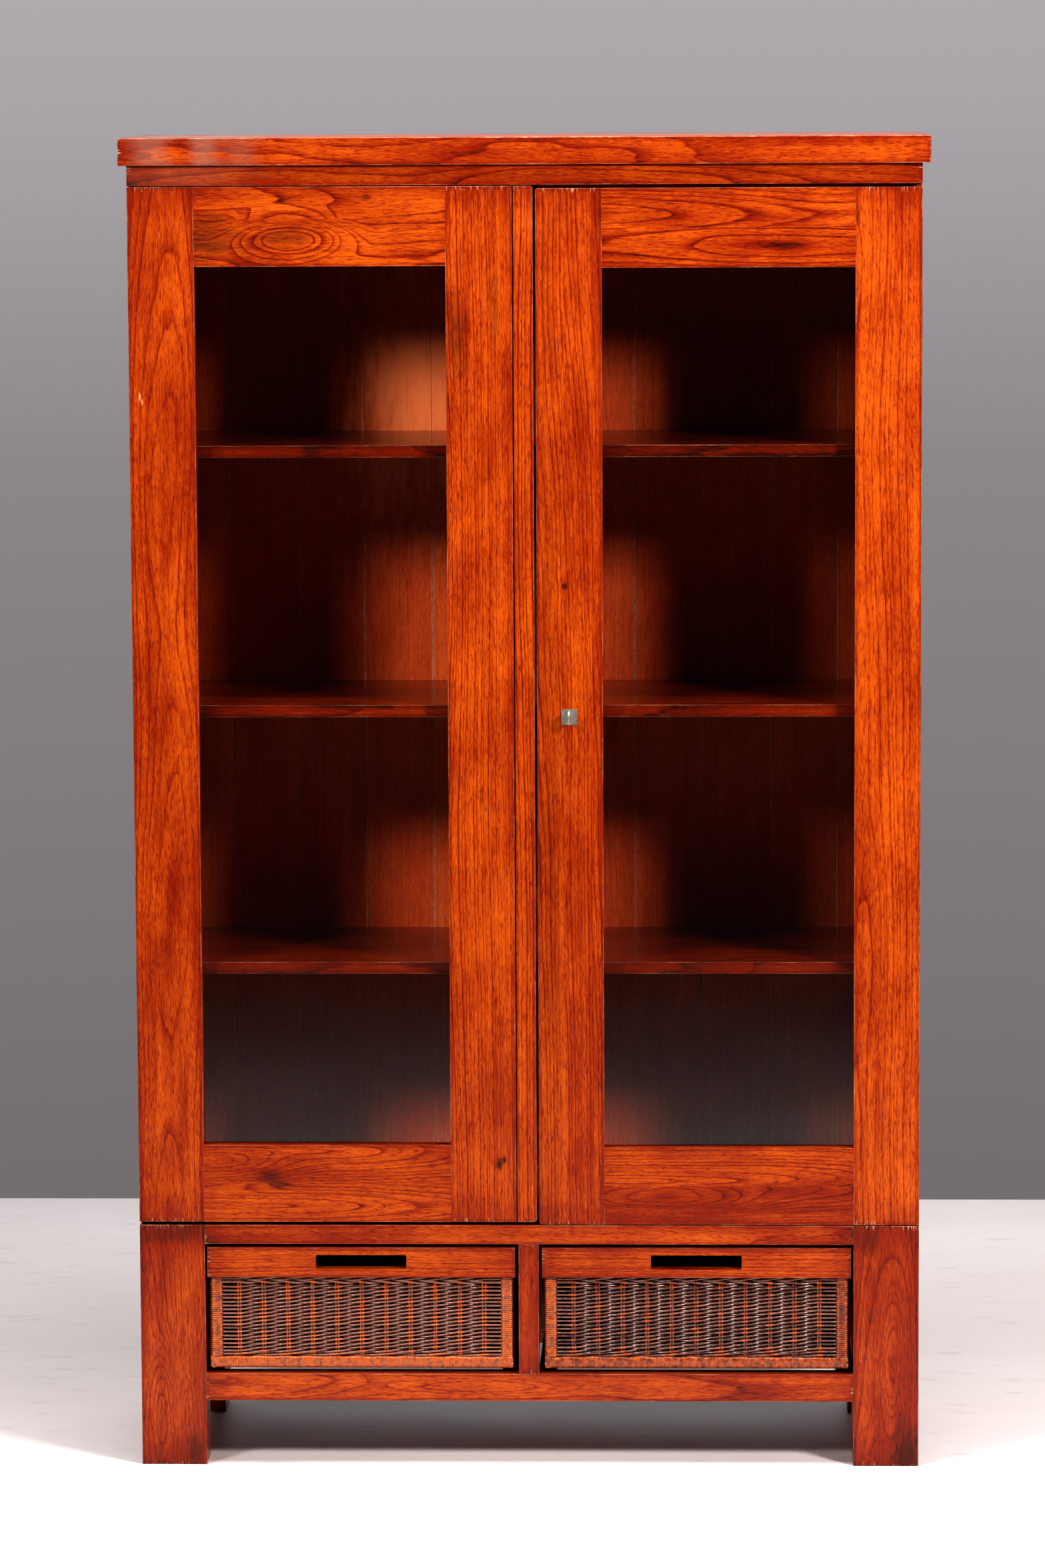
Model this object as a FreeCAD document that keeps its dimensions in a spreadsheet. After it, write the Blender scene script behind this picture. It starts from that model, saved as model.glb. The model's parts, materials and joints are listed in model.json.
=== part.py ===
"""A tall two-door display cabinet on a low base with two basket drawers.

Every size is in millimetres.  +Z is up, the doors face -Y, and the origin is on
the floor at the middle of the whole outline, so x = 0 is the middle of the front.
"""
import FreeCAD, Part
import os
import re
import Sketcher

DRIVING_SIZES = {
    # the whole cabinet
    "cabinet_height": 1872.0,
    "case_width": 1100.0,
    "base_depth": 392.0,
    "key_reach": 26.0,
    # the top slab and the rail under it
    "slab_thick": 38.0,
    "slab_side_overhang": 11.4,
    "slab_front_overhang": 8.5,
    "frieze_height": 28.0,
    # the upper case
    "side_thick": 25.0,
    "side_stile_width": 70.0,
    "side_rail_height": 110.0,
    "side_panel_thick": 8.0,
    "side_panel_tongue": 8.0,
    "case_board_thick": 18.0,
    "shelf_thick": 17.0,
    "shelf_setback": 8.0,
    "shelf_gap": 1.0,
    "lower_shelf_top": 716.5,
    "shelf_pitch": 364.0,
    "pin_radius": 3.0,
    "pin_length": 12.0,
    "pin_depth": 10.0,
    "pin_clearance": 0.05,
    "pin_inset": 30.0,
    # the back of the case
    "back_board_pitch": 98.0,
    "back_board_thick": 10.0,
    "back_board_joint": 0.4,
    "back_board_tongue": 4.0,
    "back_board_tongue_thick": 3.4,
    "back_board_tongue_fit": 0.3,
    "back_board_count": 11,
    "back_rail_height": 60.0,
    "back_rail_thick": 12.0,
    # the base
    "base_height": 345.5,
    "leg_width": 92.0,
    "leg_depth": 65.0,
    "base_top_rail_height": 27.2,
    "base_foot_clearance": 92.7,
    "base_bottom_rail_height": 39.0,
    "base_rail_depth": 30.0,
    "divider_width": 28.6,
    "base_side_thick": 20.0,
    "base_side_inset": 6.0,
    "base_back_thick": 12.0,
    "runner_width": 24.0,
    "runner_height": 28.0,
    "runner_gap": 0.4,
    # the doors
    "door_thick": 22.0,
    "door_gap": 1.5,
    "door_height": 1454.5,
    "left_door_bottom": 350.1,
    "right_door_bottom": 346.7,
    "stile_width": 92.0,
    "door_rail_height": 110.0,
    "tenon_length": 30.0,
    "tenon_thick": 7.0,
    "tenon_inset": 12.0,
    "rebate_width": 8.0,
    "glass_setback": 12.0,
    "glass_thick": 4.0,
    "glass_clearance": 1.0,
    "meeting_gap": 3.4,
    "strip_width": 27.0,
    "strip_middle": -1.6,
    "strip_groove_width": 2.0,
    "strip_groove_depth": 6.0,
    # the hinges
    "hinge_height": 60.0,
    "hinge_leaf_width": 20.0,
    "hinge_leaf_thick": 1.5,
    "hinge_leaf_gap": 0.3,
    "hinge_seat_clearance": 0.3,
    "hinge_inset": 1.2,
    "barrel_radius": 2.4,
    "barrel_clearance": 0.6,
    "hinge_pin_radius": 1.2,
    "hinge_pin_clearance": 0.05,
    "knuckle_gap": 0.3,
    "hinge_end_offset": 150.0,
    "screw_radius": 1.4,
    "screw_head_radius": 2.8,
    "screw_head_height": 1.4,
    "screw_length": 14.0,
    "screw_spacing": 36.0,
    # the lock in the right door
    "key_height": 1067.0,
    "key_backset": 44.6,
    "plate_side": 22.0,
    "plate_thick": 1.2,
    "key_shaft_radius": 2.2,
    "key_bow_radius": 10.5,
    "key_bow_thick": 2.2,
    "key_bow_hole_radius": 3.6,
    "key_bit_drop": 6.5,
    "key_bit_length": 4.0,
    "keyhole_clearance": 0.4,
    "lock_width": 70.0,
    "lock_height": 52.0,
    "lock_depth": 11.0,
    "lock_wall": 1.5,
    "lock_bolt_height": 12.0,
    "lock_bolt_thick": 5.0,
    "lock_bolt_length": 40.0,
    "lock_bolt_rise": 6.0,
    "lock_bolt_clearance": 0.4,
    "lock_below_key": 22.0,
    "lock_seat_clearance": 0.2,
    "strike_depth": 9.0,
    # the slide bolt inside the left door
    "rod_radius": 3.0,
    "rod_length": 80.0,
    "rod_clearance": 0.4,
    "rod_below_door_top": 5.0,
    "rod_standoff": 7.0,
    "rod_throw": 24.0,
    "rod_knob_radius": 3.5,
    "rod_knob_length": 7.0,
    "bolt_plate_width": 22.0,
    "bolt_plate_height": 62.0,
    "bolt_plate_thick": 1.5,
    "staple_height": 8.0,
    "staple_width": 12.0,
    "staple_wall": 1.5,
    "keeper_side": 22.0,
    "keeper_thick": 1.5,
    # the drawers
    "drawer_width": 436.0,
    "drawer_rail_height": 43.0,
    "drawer_rail_bottom": 270.0,
    "drawer_rail_thick": 20.0,
    "drawer_setback": 2.0,
    "left_drawer_middle": -237.2,
    "right_drawer_middle": 236.5,
    "slot_width": 128.0,
    "slot_height": 20.0,
    "slot_middle_height": 292.2,
    "basket_width": 430.0,
    "basket_depth": 340.0,
    "basket_bottom": 138.0,
    "basket_setback": 4.0,
    "basket_wall": 6.0,
    "basket_post": 19.0,
    "rim_thick": 14.0,
    "rim_height": 20.0,
    # eased edges
    "slab_round": 1.5,
    "leg_round": 1.2,
    "slot_round": 2.0,
    "back_board_round": 1.6,
    "edge_round": 0.8,
    "door_corner_round": 4.0,
    "hinge_side_round": 2.0,
}

# Places worked out from the driving sizes, as text that the sheet's aliases fill in.
FRONT = "((key_reach - base_depth) / 2)"
BACK = "((key_reach + base_depth) / 2)"
DOOR_BACK = f"({FRONT} + door_thick)"
CASE_FRONT = f"({DOOR_BACK} + door_gap)"
CASE_DEPTH = f"({BACK} - {CASE_FRONT})"
HALF = "(case_width / 2)"
SIDE_INNER = f"({HALF} - side_thick)"
SLAB_BOTTOM = "(cabinet_height - slab_thick)"
FRIEZE_BOTTOM = f"({SLAB_BOTTOM} - frieze_height)"
CASE_HEIGHT = f"({SLAB_BOTTOM} - base_height)"
TOP_BOARD_BOTTOM = f"({SLAB_BOTTOM} - case_board_thick)"
BACK_RAIL_FRONT = f"({BACK} - back_rail_thick)"
BACK_BOARD_FRONT = f"({BACK_RAIL_FRONT} - back_board_thick)"
LEG_INNER = f"({HALF} - leg_width)"
OPENING_BOTTOM = "(base_foot_clearance + base_bottom_rail_height)"
OPENING_TOP = "(base_height - base_top_rail_height)"
JOINT_PLANE = f"({DOOR_BACK} + door_gap / 2)"
HINGE_X = f"({HALF} - hinge_inset)"
STRIP_RIGHT = "(strip_middle + strip_width / 2)"
STRIP_LEFT = f"({STRIP_RIGHT} - strip_width - strip_groove_width)"
RIGHT_DOOR_EDGE = f"({STRIP_RIGHT} + meeting_gap)"
KEY_X = f"({RIGHT_DOOR_EDGE} + key_backset)"
LOCK_FRONT = f"({DOOR_BACK} - lock_depth)"
ROD_X = f"({STRIP_LEFT} - stile_width / 2)"
ROD_Y = f"({DOOR_BACK} + rod_standoff)"
ROD_TOP = "(left_door_bottom + door_height - rod_below_door_top)"

AXES = "xyz"
SIDES = ("left", "right")
HINGE_PLACES = ("lower", "middle", "upper")
SHELVES = ("lower", "middle", "upper")

doc = FreeCAD.newDocument("display_cabinet")
nodes = []
corners = {}


# ------------------------------------------------- the sheet and small tools


def make_sheet():
    """Writes the driving sizes to the sheet, one named cell each."""
    sheet = doc.addObject("Spreadsheet::Sheet", "Sizes")
    for row, (alias, value) in enumerate(DRIVING_SIZES.items(), start=1):
        sheet.set(f"A{row}", alias)
        sheet.set(f"B{row}", str(value))
        sheet.setAlias(f"B{row}", alias)
    doc.recompute()


def bind(thing, prop, text):
    """Binds a property to an expression in which each alias is looked up in the sheet."""
    thing.setExpression(prop, re.sub(r"[a-z]+(?:_[a-z]+)*", r"Sizes.\g<0>", text))


def put(thing, low, within=("0", "0", "0")):
    """Binds a thing's place to low, counted from the corner that it is built from."""
    for axis, here, start in zip(AXES, low, within):
        bind(thing, f"Placement.Base.{axis}", f"({here}) - ({start})")


def turned(axis):
    """The rotation that lays a round piece's length along an axis."""
    direction = [float(letter == axis) for letter in AXES]
    return FreeCAD.Rotation(FreeCAD.Vector(0, 0, 1), FreeCAD.Vector(*direction))


def on_side(side, near, far):
    """The lower x of a piece that lies from near to far from the middle, on one side."""
    return near if side == "right" else f"(-({far}))"


def node(thing, label):
    """Keeps a thing as a sub-part, with the label that its file takes."""
    thing.Label = label
    nodes.append(thing)
    return thing


# ------------------------------------------------------------ boards as bodies


def outline(body, width, depth):
    """A rectangle from the body's origin, on its XY plane, with both sides bound."""
    sketch = body.newObject("Sketcher::SketchObject", body.Name + "_outline")
    plane = next(part for part in body.Origin.OriginFeatures if part.Role == "XY_Plane")
    sketch.AttachmentSupport = [(plane, "")]
    sketch.MapMode = "FlatFace"
    points = [FreeCAD.Vector(x, y, 0) for x, y in ((0, 0), (9, 0), (9, 9), (0, 9))]
    for line in range(4):
        sketch.addGeometry(Part.LineSegment(points[line], points[(line + 1) % 4]), False)
    for line in range(4):
        sketch.addConstraint(Sketcher.Constraint("Coincident", line, 2, (line + 1) % 4, 1))
        level = "Horizontal" if line % 2 == 0 else "Vertical"
        sketch.addConstraint(Sketcher.Constraint(level, line))
    sketch.addConstraint(Sketcher.Constraint("Coincident", 0, 1, -1, 1))
    sides = (("across", "DistanceX", 0, width), ("along", "DistanceY", 1, depth))
    for name, kind, line, text in sides:
        number = sketch.addConstraint(Sketcher.Constraint(kind, line, 1, line, 2, 9.0))
        sketch.renameConstraint(number, name)
        bind(sketch, "Constraints." + name, text)
    return sketch


def board(label, low, size):
    """A squared board: a rectangle padded up, with its lower corner at low."""
    body = doc.addObject("PartDesign::Body", label)
    body.Label = label
    corners[body.Name] = low
    pad = body.newObject("PartDesign::Pad", label + "_pad")
    pad.Profile = outline(body, size[0], size[1])
    bind(pad, "Length", size[2])
    body.Tip = pad
    put(body, low)
    doc.recompute()
    return body


def ease(body, radius, test):
    """Rounds the straight edges whose direction and middle, within the body, pass a test."""
    base = body.Tip
    names = []
    for number, edge in enumerate(base.Shape.Edges, start=1):
        run = edge.lastVertex().Point - edge.firstVertex().Point
        if edge.Curve.TypeId == "Part::GeomLine" and test(run.normalize(), edge.CenterOfMass):
            names.append(f"Edge{number}")
    if not names:
        raise RuntimeError(body.Label + " has no such edge")
    fillet = body.newObject("PartDesign::Fillet", body.Name + "_round")
    fillet.Base = (base, names)
    bind(fillet, "Radius", radius)
    body.Tip = fillet
    doc.recompute()


def runs_along(axis, run):
    """Whether an edge's direction lies along an axis."""
    return abs(run[AXES.index(axis)]) > 0.99


def every_edge(run, middle):
    """The test that every edge passes."""
    return True


def front_edge(run, middle):
    """The test that a board's edges on its front face pass."""
    return middle.y < 0.01


def change(body, name, kind, low, bindings, axis="z"):
    """Adds a primitive to a body or takes it away, and checks that the volume followed."""
    before = body.Shape.Volume
    feature = body.newObject("PartDesign::" + kind, f"{body.Name}_{name}")
    for prop, text in bindings.items():
        bind(feature, prop, text)
    feature.Placement.Rotation = turned(axis)
    put(feature, low, corners[body.Name])
    body.Tip = feature
    doc.recompute()
    grown = body.Shape.Volume - before
    wanted = 1 if kind.startswith("Additive") else -1
    if grown * wanted < 0.01:
        raise RuntimeError(f"{body.Label}: {name} changed the volume by {grown:.3f}")


def boxed(size):
    """The bindings of a box's three sides."""
    return dict(zip(("Length", "Width", "Height"), size))


def cut(body, name, low, size):
    """Takes a box out of a body."""
    change(body, name, "SubtractiveBox", low, boxed(size))


def add(body, name, low, size):
    """Adds a box to a body."""
    change(body, name, "AdditiveBox", low, boxed(size))


def bore(body, name, axis, start, radius, length):
    """Drills a round hole into a body, along an axis from its start point."""
    change(body, name, "SubtractiveCylinder", start, {"Radius": radius, "Height": length}, axis)


# ------------------------------------------------------- primitives and booleans


def primitive(kind, name, low, bindings, axis="z"):
    """A Part primitive with its sizes and place bound."""
    thing = doc.addObject("Part::" + kind, name)
    for prop, text in bindings.items():
        bind(thing, prop, text)
    thing.Placement.Rotation = turned(axis)
    put(thing, low)
    return thing


def block(name, low, size):
    """A plain box."""
    return primitive("Box", name, low, boxed(size))


def rod(name, axis, start, radius, length):
    """A plain cylinder along an axis from its start point."""
    return primitive("Cylinder", name, start, {"Radius": radius, "Height": length}, axis)


def fused(name, *pieces):
    """One solid made of several."""
    joined = doc.addObject("Part::MultiFuse", name)
    joined.Shapes = list(pieces)
    joined.Refine = True
    return joined


def less(name, base, *tools):
    """A base with tools taken out of it."""
    result = doc.addObject("Part::Cut", name)
    result.Base = base
    result.Tool = tools[0] if len(tools) == 1 else fused(name + "_tools", *tools)
    result.Refine = True
    return result


def group(label, pieces):
    """Several separate solids that make one sub-part."""
    together = doc.addObject("Part::Compound", label)
    together.Links = pieces
    return node(together, label)


# ------------------------------------------------------------------ the top


def make_top_slab():
    """The slab over the case, proud of it at the front and at both sides."""
    low = (f"-{HALF} - slab_side_overhang", f"{FRONT} - slab_front_overhang", SLAB_BOTTOM)
    size = ("case_width + 2 * slab_side_overhang", "base_depth + slab_front_overhang", "slab_thick")
    slab = board("top_slab", low, size)
    ease(slab, "slab_round", every_edge)
    node(slab, "top_slab")


def make_frieze_rail():
    """The rail under the slab, flush with the doors below it."""
    size = ("case_width", f"{CASE_FRONT} - {FRONT}", "frieze_height")
    rail = board("frieze_rail", (f"-{HALF}", FRONT, FRIEZE_BOTTOM), size)
    ease(rail, "edge_round", front_edge)
    node(rail, "frieze_rail")


# ------------------------------------------------------------ the upper case


def make_case_board(label, bottom):
    """The board that closes the case at its top or bottom, between the sides."""
    size = (f"2 * {SIDE_INNER}", f"{BACK_BOARD_FRONT} - {CASE_FRONT}", "case_board_thick")
    return node(board(label, (f"-{SIDE_INNER}", CASE_FRONT, bottom), size), label)


def panel_low_x(side):
    """The lower x of a side's thin panel, midway through the side's thickness."""
    near = f"{SIDE_INNER} + (side_thick - side_panel_thick) / 2"
    return on_side(side, near, f"{near} + side_panel_thick")


def make_side_panel(side):
    """The thin panel of one side, tongued into its stiles and rails."""
    low = (
        panel_low_x(side),
        f"{CASE_FRONT} + side_stile_width - side_panel_tongue",
        "base_height + side_rail_height - side_panel_tongue",
    )
    size = (
        "side_panel_thick",
        f"{CASE_DEPTH} - 2 * side_stile_width + 2 * side_panel_tongue",
        f"{CASE_HEIGHT} - 2 * side_rail_height + 2 * side_panel_tongue",
    )
    node(board(side + "_side_panel", low, size), side + "_side_panel")
    return low, size


def make_side_frame(side):
    """The two stiles and two rails round one side's panel, as separate boards."""
    low_x = on_side(side, SIDE_INNER, HALF)
    panel_low, panel_size = make_side_panel(side)
    outer_x = DRIVING_SIZES["side_thick"] if side == "right" else 0.0
    stile_size = ("side_thick", "side_stile_width", CASE_HEIGHT)
    rail_size = ("side_thick", f"{CASE_DEPTH} - 2 * side_stile_width", "side_rail_height")
    rail_y = f"({CASE_FRONT} + side_stile_width)"
    front = board(side + "_side_front_stile", (low_x, CASE_FRONT, "base_height"), stile_size)
    ease(front, "hinge_side_round", lambda run, middle: runs_along("z", run)
         and abs(middle.x - outer_x) < 1 and middle.y < 1)
    rear = board(side + "_side_rear_stile", (low_x, f"{BACK} - side_stile_width", "base_height"), stile_size)
    top = board(side + "_side_top_rail", (low_x, rail_y, f"{SLAB_BOTTOM} - side_rail_height"), rail_size)
    bottom = board(side + "_side_bottom_rail", (low_x, rail_y, "base_height"), rail_size)
    pieces = [front, rear, top, bottom]
    for piece in pieces:
        cut(piece, "panel_groove", panel_low, panel_size)
    for place in HINGE_PLACES:
        cut_hinge_seat(front, side, place, "case")
    for shelf in SHELVES:
        for end, stile in (("front", front), ("rear", rear)):
            bore(stile, f"{shelf}_{end}_pin_hole", "x", pin_start(side, shelf, end),
                 "pin_radius + pin_clearance", "pin_depth")
    group(side + "_side_frame", pieces)


def shelf_top(shelf):
    """The height of a shelf's upper face."""
    return f"(lower_shelf_top + {SHELVES.index(shelf)} * shelf_pitch)"


def make_shelf(shelf):
    """A loose shelf that rests on its four pins."""
    low = (f"-{SIDE_INNER} + shelf_gap", f"{CASE_FRONT} + shelf_setback", f"{shelf_top(shelf)} - shelf_thick")
    size = (
        f"2 * {SIDE_INNER} - 2 * shelf_gap",
        f"{BACK_BOARD_FRONT} - {CASE_FRONT} - shelf_setback - shelf_gap",
        "shelf_thick",
    )
    piece = board(shelf + "_shelf", low, size)
    ease(piece, "edge_round", front_edge)
    node(piece, shelf + "_shelf")


def pin_start(side, shelf, end):
    """Where a shelf pin's hole starts, at the lower x of the part of it in the wood."""
    start_x = on_side(side, SIDE_INNER, f"{SIDE_INNER} + pin_depth")
    start_y = f"{CASE_FRONT} + pin_inset" if end == "front" else f"{BACK_BOARD_FRONT} - pin_inset"
    return start_x, start_y, f"{shelf_top(shelf)} - shelf_thick - pin_radius"


def make_shelf_pins():
    """The pins in the sides that the shelves rest on."""
    pins = []
    for side in SIDES:
        for shelf in SHELVES:
            for end in ("front", "rear"):
                start = pin_start(side, shelf, end)
                start_x = on_side(side, f"{SIDE_INNER} - pin_length", f"{SIDE_INNER} + pin_depth")
                name = f"{side}_{shelf}_{end}_pin"
                length = "pin_length + pin_depth"
                pins.append(rod(name, "x", (start_x, *start[1:]), "pin_radius", length))
    group("shelf_pins", pins)


def make_back_boards():
    """The upright tongued and grooved boards that close the back of the case."""
    count = DRIVING_SIZES["back_board_count"]
    boards = []
    for number in range(count):
        first = number == 0
        last = number == count - 1
        middle = f"({number} - (back_board_count - 1) / 2) * back_board_pitch"
        low_x = f"-{SIDE_INNER}" if first else f"{middle} - back_board_pitch / 2"
        high_x = SIDE_INNER if last else f"{middle} + back_board_pitch / 2 - back_board_joint"
        piece = board(f"back_board_{number + 1}", (low_x, BACK_BOARD_FRONT, "base_height"),
                      (f"({high_x}) - ({low_x})", "back_board_thick", CASE_HEIGHT))
        ease(piece, "back_board_round", lambda run, middle: runs_along("z", run) and middle.y < 0.01)
        tongue_y = f"{BACK_BOARD_FRONT} + (back_board_thick - back_board_tongue_thick) / 2"
        if not last:
            add(piece, "tongue", (high_x, tongue_y, "base_height"),
                ("back_board_tongue", "back_board_tongue_thick", CASE_HEIGHT))
        if not first:
            cut(piece, "groove", (low_x, f"{tongue_y} - back_board_tongue_fit", "base_height"),
                ("back_board_tongue", "back_board_tongue_thick + 2 * back_board_tongue_fit", CASE_HEIGHT))
        boards.append(piece)
    group("back_boards", boards)


def make_back_rails():
    """The three rails behind the back boards, which they are nailed to."""
    rails = []
    free = f"({CASE_HEIGHT} - back_rail_height)"
    for number, place in enumerate(("bottom", "middle", "top")):
        low = (f"-{SIDE_INNER}", BACK_RAIL_FRONT, f"base_height + {free} * {number} / 2")
        size = (f"2 * {SIDE_INNER}", "back_rail_thick", "back_rail_height")
        rails.append(board(f"back_{place}_rail", low, size))
    group("back_rails", rails)


# ------------------------------------------------------------------ the base


def make_leg(side, end):
    """A wide flat leg that is also a corner of the base."""
    low_y = FRONT if end == "front" else f"{BACK} - leg_depth"
    leg = board(f"{side}_{end}_leg", (on_side(side, LEG_INNER, HALF), low_y, "0"),
                ("leg_width", "leg_depth", "base_height"))
    ease(leg, "leg_round", every_edge)
    node(leg, f"{side}_{end}_leg")


def make_base_front():
    """The two front rails of the base and the upright between its drawers."""
    for label, bottom, height in (
        ("base_top_rail", OPENING_TOP, "base_top_rail_height"),
        ("base_bottom_rail", "base_foot_clearance", "base_bottom_rail_height"),
    ):
        rail = board(label, (f"-{LEG_INNER}", FRONT, bottom), (f"2 * {LEG_INNER}", "base_rail_depth", height))
        ease(rail, "edge_round", lambda run, middle: runs_along("x", run) and middle.y < 1)
        node(rail, label)
    divider = board("base_divider", ("-divider_width / 2", FRONT, OPENING_BOTTOM),
                    ("divider_width", "base_rail_depth", f"{OPENING_TOP} - {OPENING_BOTTOM}"))
    node(divider, "base_divider")


def make_base_walls():
    """The boards between the legs at both sides and at the back of the base."""
    height = "base_height - base_foot_clearance"
    for side in SIDES:
        low_x = on_side(side, f"{HALF} - base_side_inset - base_side_thick", f"{HALF} - base_side_inset")
        low = (low_x, f"{FRONT} + leg_depth", "base_foot_clearance")
        size = ("base_side_thick", "base_depth - 2 * leg_depth", height)
        node(board(side + "_base_side", low, size), side + "_base_side")
    low = (f"-{LEG_INNER}", f"{BACK} - base_back_thick", "base_foot_clearance")
    node(board("base_back", low, (f"2 * {LEG_INNER}", "base_back_thick", height)), "base_back")


def make_drawer_runners():
    """The four runners that the baskets slide on, two to a drawer."""
    runners = []
    low_y = f"({FRONT} + base_rail_depth)"
    size = ("runner_width", f"{BACK} - base_back_thick - {low_y}", "runner_height")
    low_z = "basket_bottom - runner_gap - runner_height"
    for side in SIDES:
        inner_x = on_side(side, "divider_width / 2", "divider_width / 2 + runner_width")
        outer_x = on_side(side, f"{LEG_INNER} - runner_width", LEG_INNER)
        for place, low_x in (("inner", inner_x), ("outer", outer_x)):
            runners.append(board(f"{side}_{place}_runner", (low_x, low_y, low_z), size))
    group("drawer_runners", runners)


# ------------------------------------------------------------------- the doors


def door_span(side):
    """The lower and upper x of a door's own frame, without the strip."""
    if side == "left":
        return f"(-{HALF})", STRIP_LEFT
    return RIGHT_DOOR_EDGE, HALF


def window(side):
    """The lower corner and the size of a door's window, within its stiles and rails."""
    low_x, high_x = door_span(side)
    low = (f"({low_x} + stile_width)", f"({side}_door_bottom + door_rail_height)")
    size = (f"({high_x} - {low_x} - 2 * stile_width)", "(door_height - 2 * door_rail_height)")
    return low, size


def cut_rebate(piece, side):
    """Takes the glass's rebate out of a stile or a rail, at its back."""
    low, size = window(side)
    cut(piece, "glass_rebate",
        (f"{low[0]} - rebate_width", f"{FRONT} + glass_setback", f"{low[1]} - rebate_width"),
        (f"{size[0]} + 2 * rebate_width", "door_thick - glass_setback", f"{size[1]} + 2 * rebate_width"))


def tenon(side, rail):
    """The lower corner and the size of the tenons of a rail, from end to end."""
    low, size = window(side)
    bottom = f"{side}_door_bottom"
    if rail == "top":
        bottom = f"{side}_door_bottom + door_height - door_rail_height"
    return (
        (f"{low[0]} - tenon_length", f"{FRONT} + (door_thick - tenon_thick) / 2", f"{bottom} + tenon_inset"),
        (f"{size[0]} + 2 * tenon_length", "tenon_thick", "door_rail_height - 2 * tenon_inset"),
    )


def make_stile(side, kind):
    """An upright of a door, with the rebate, the mortises and the rounded edges."""
    low_x, high_x = door_span(side)
    at_low = (side == "left") == (kind == "hinge")
    stile_x = low_x if at_low else f"({high_x} - stile_width)"
    outer_x = 0.0 if at_low else DRIVING_SIZES["stile_width"]
    label = f"{side}_{kind}_stile"
    low = (stile_x, FRONT, f"{side}_door_bottom")
    stile = board(label, low, ("stile_width", "door_thick", "door_height"))
    if kind == "hinge":
        ease(stile, "hinge_side_round", lambda run, middle: runs_along("z", run)
             and abs(middle.x - outer_x) < 0.01 and middle.y > 1)
    elif side == "right":
        ease(stile, "door_corner_round", lambda run, middle: runs_along("y", run)
             and abs(middle.x - outer_x) < 0.01)
    ease(stile, "edge_round", lambda run, middle: middle.y < 0.01
         and not (runs_along("z", run) and abs(middle.x - outer_x) > 0.01))
    cut_rebate(stile, side)
    for rail in ("bottom", "top"):
        cut(stile, rail + "_mortise", *tenon(side, rail))
    return stile


def make_door_rail(side, place):
    """The top or bottom rail of a door, tenoned into its stiles."""
    low, size = window(side)
    bottom = f"{side}_door_bottom"
    if place == "top":
        bottom = f"({low[1]} + {size[1]})"
    rail = board(f"{side}_{place}_rail", (low[0], FRONT, bottom), (size[0], "door_thick", "door_rail_height"))
    outer_z = 0.0 if place == "bottom" else DRIVING_SIZES["door_rail_height"]
    ease(rail, "edge_round", lambda run, middle: runs_along("x", run)
         and middle.y < 0.01 and abs(middle.z - outer_z) < 0.01)
    cut_rebate(rail, side)
    add(rail, "tenons", *tenon(side, place))
    node(rail, f"{side}_{place}_rail")


def make_glass(side):
    """The pane of a door, held in the rebate with room round it."""
    low, size = window(side)
    lap = "(rebate_width - glass_clearance)"
    pane = board(side + "_glass", (f"{low[0]} - {lap}", f"{FRONT} + glass_setback", f"{low[1]} - {lap}"),
                 (f"{size[0]} + 2 * {lap}", "glass_thick", f"{size[1]} + 2 * {lap}"))
    node(pane, side + "_glass")


def make_glazing_beads(side):
    """The four strips that hold a door's glass in from behind."""
    low, size = window(side)
    low_y = f"({FRONT} + glass_setback + glass_thick)"
    depth = f"{DOOR_BACK} - {low_y}"
    upright = ("rebate_width", depth, f"{size[1]} + 2 * rebate_width")
    level = (size[0], depth, "rebate_width")
    foot = f"{low[1]} - rebate_width"
    beads = [
        block(side + "_bead_low_x", (f"{low[0]} - rebate_width", low_y, foot), upright),
        block(side + "_bead_high_x", (f"{low[0]} + {size[0]}", low_y, foot), upright),
        block(side + "_bead_bottom", (low[0], low_y, foot), level),
        block(side + "_bead_top", (low[0], low_y, f"{low[1]} + {size[1]}"), level),
    ]
    group(side + "_glazing_beads", beads)


def make_meeting_strip():
    """The strip on the left door's free edge, set off by a narrow groove."""
    low = (STRIP_LEFT, FRONT, "left_door_bottom")
    width = f"{STRIP_RIGHT} - {STRIP_LEFT}"
    strip = board("meeting_strip", low, (width, "door_thick", "door_height"))
    free_x = DRIVING_SIZES["strip_width"] + DRIVING_SIZES["strip_groove_width"]
    ease(strip, "door_corner_round", lambda run, middle: runs_along("y", run)
         and abs(middle.x - free_x) < 0.01)
    ease(strip, "edge_round", lambda run, middle: middle.y < 0.01 and middle.x > 0.01)
    cut(strip, "shadow_groove", low, ("strip_groove_width", "strip_groove_depth", "door_height"))
    bolt_low, bolt_size = lock_bolt_box("lock_bolt_clearance")
    mortise_low = (f"{STRIP_RIGHT} - strike_depth", *bolt_low[1:])
    cut(strip, "bolt_mortise", mortise_low, ("strike_depth", *bolt_size[1:]))
    node(strip, "meeting_strip")


def make_doors():
    """Both doors, without their hinges, lock and bolt."""
    for side in SIDES:
        hinge_stile = make_stile(side, "hinge")
        for place in HINGE_PLACES:
            cut_hinge_seat(hinge_stile, side, place, "door")
        node(hinge_stile, side + "_hinge_stile")
        meeting_stile = make_stile(side, "meeting")
        if side == "right":
            cut_lock_seat(meeting_stile)
        node(meeting_stile, side + "_meeting_stile")
        for place in ("bottom", "top"):
            make_door_rail(side, place)
        make_glass(side)
        make_glazing_beads(side)
    make_meeting_strip()


# ------------------------------------------------------------------ the hinges


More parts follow.
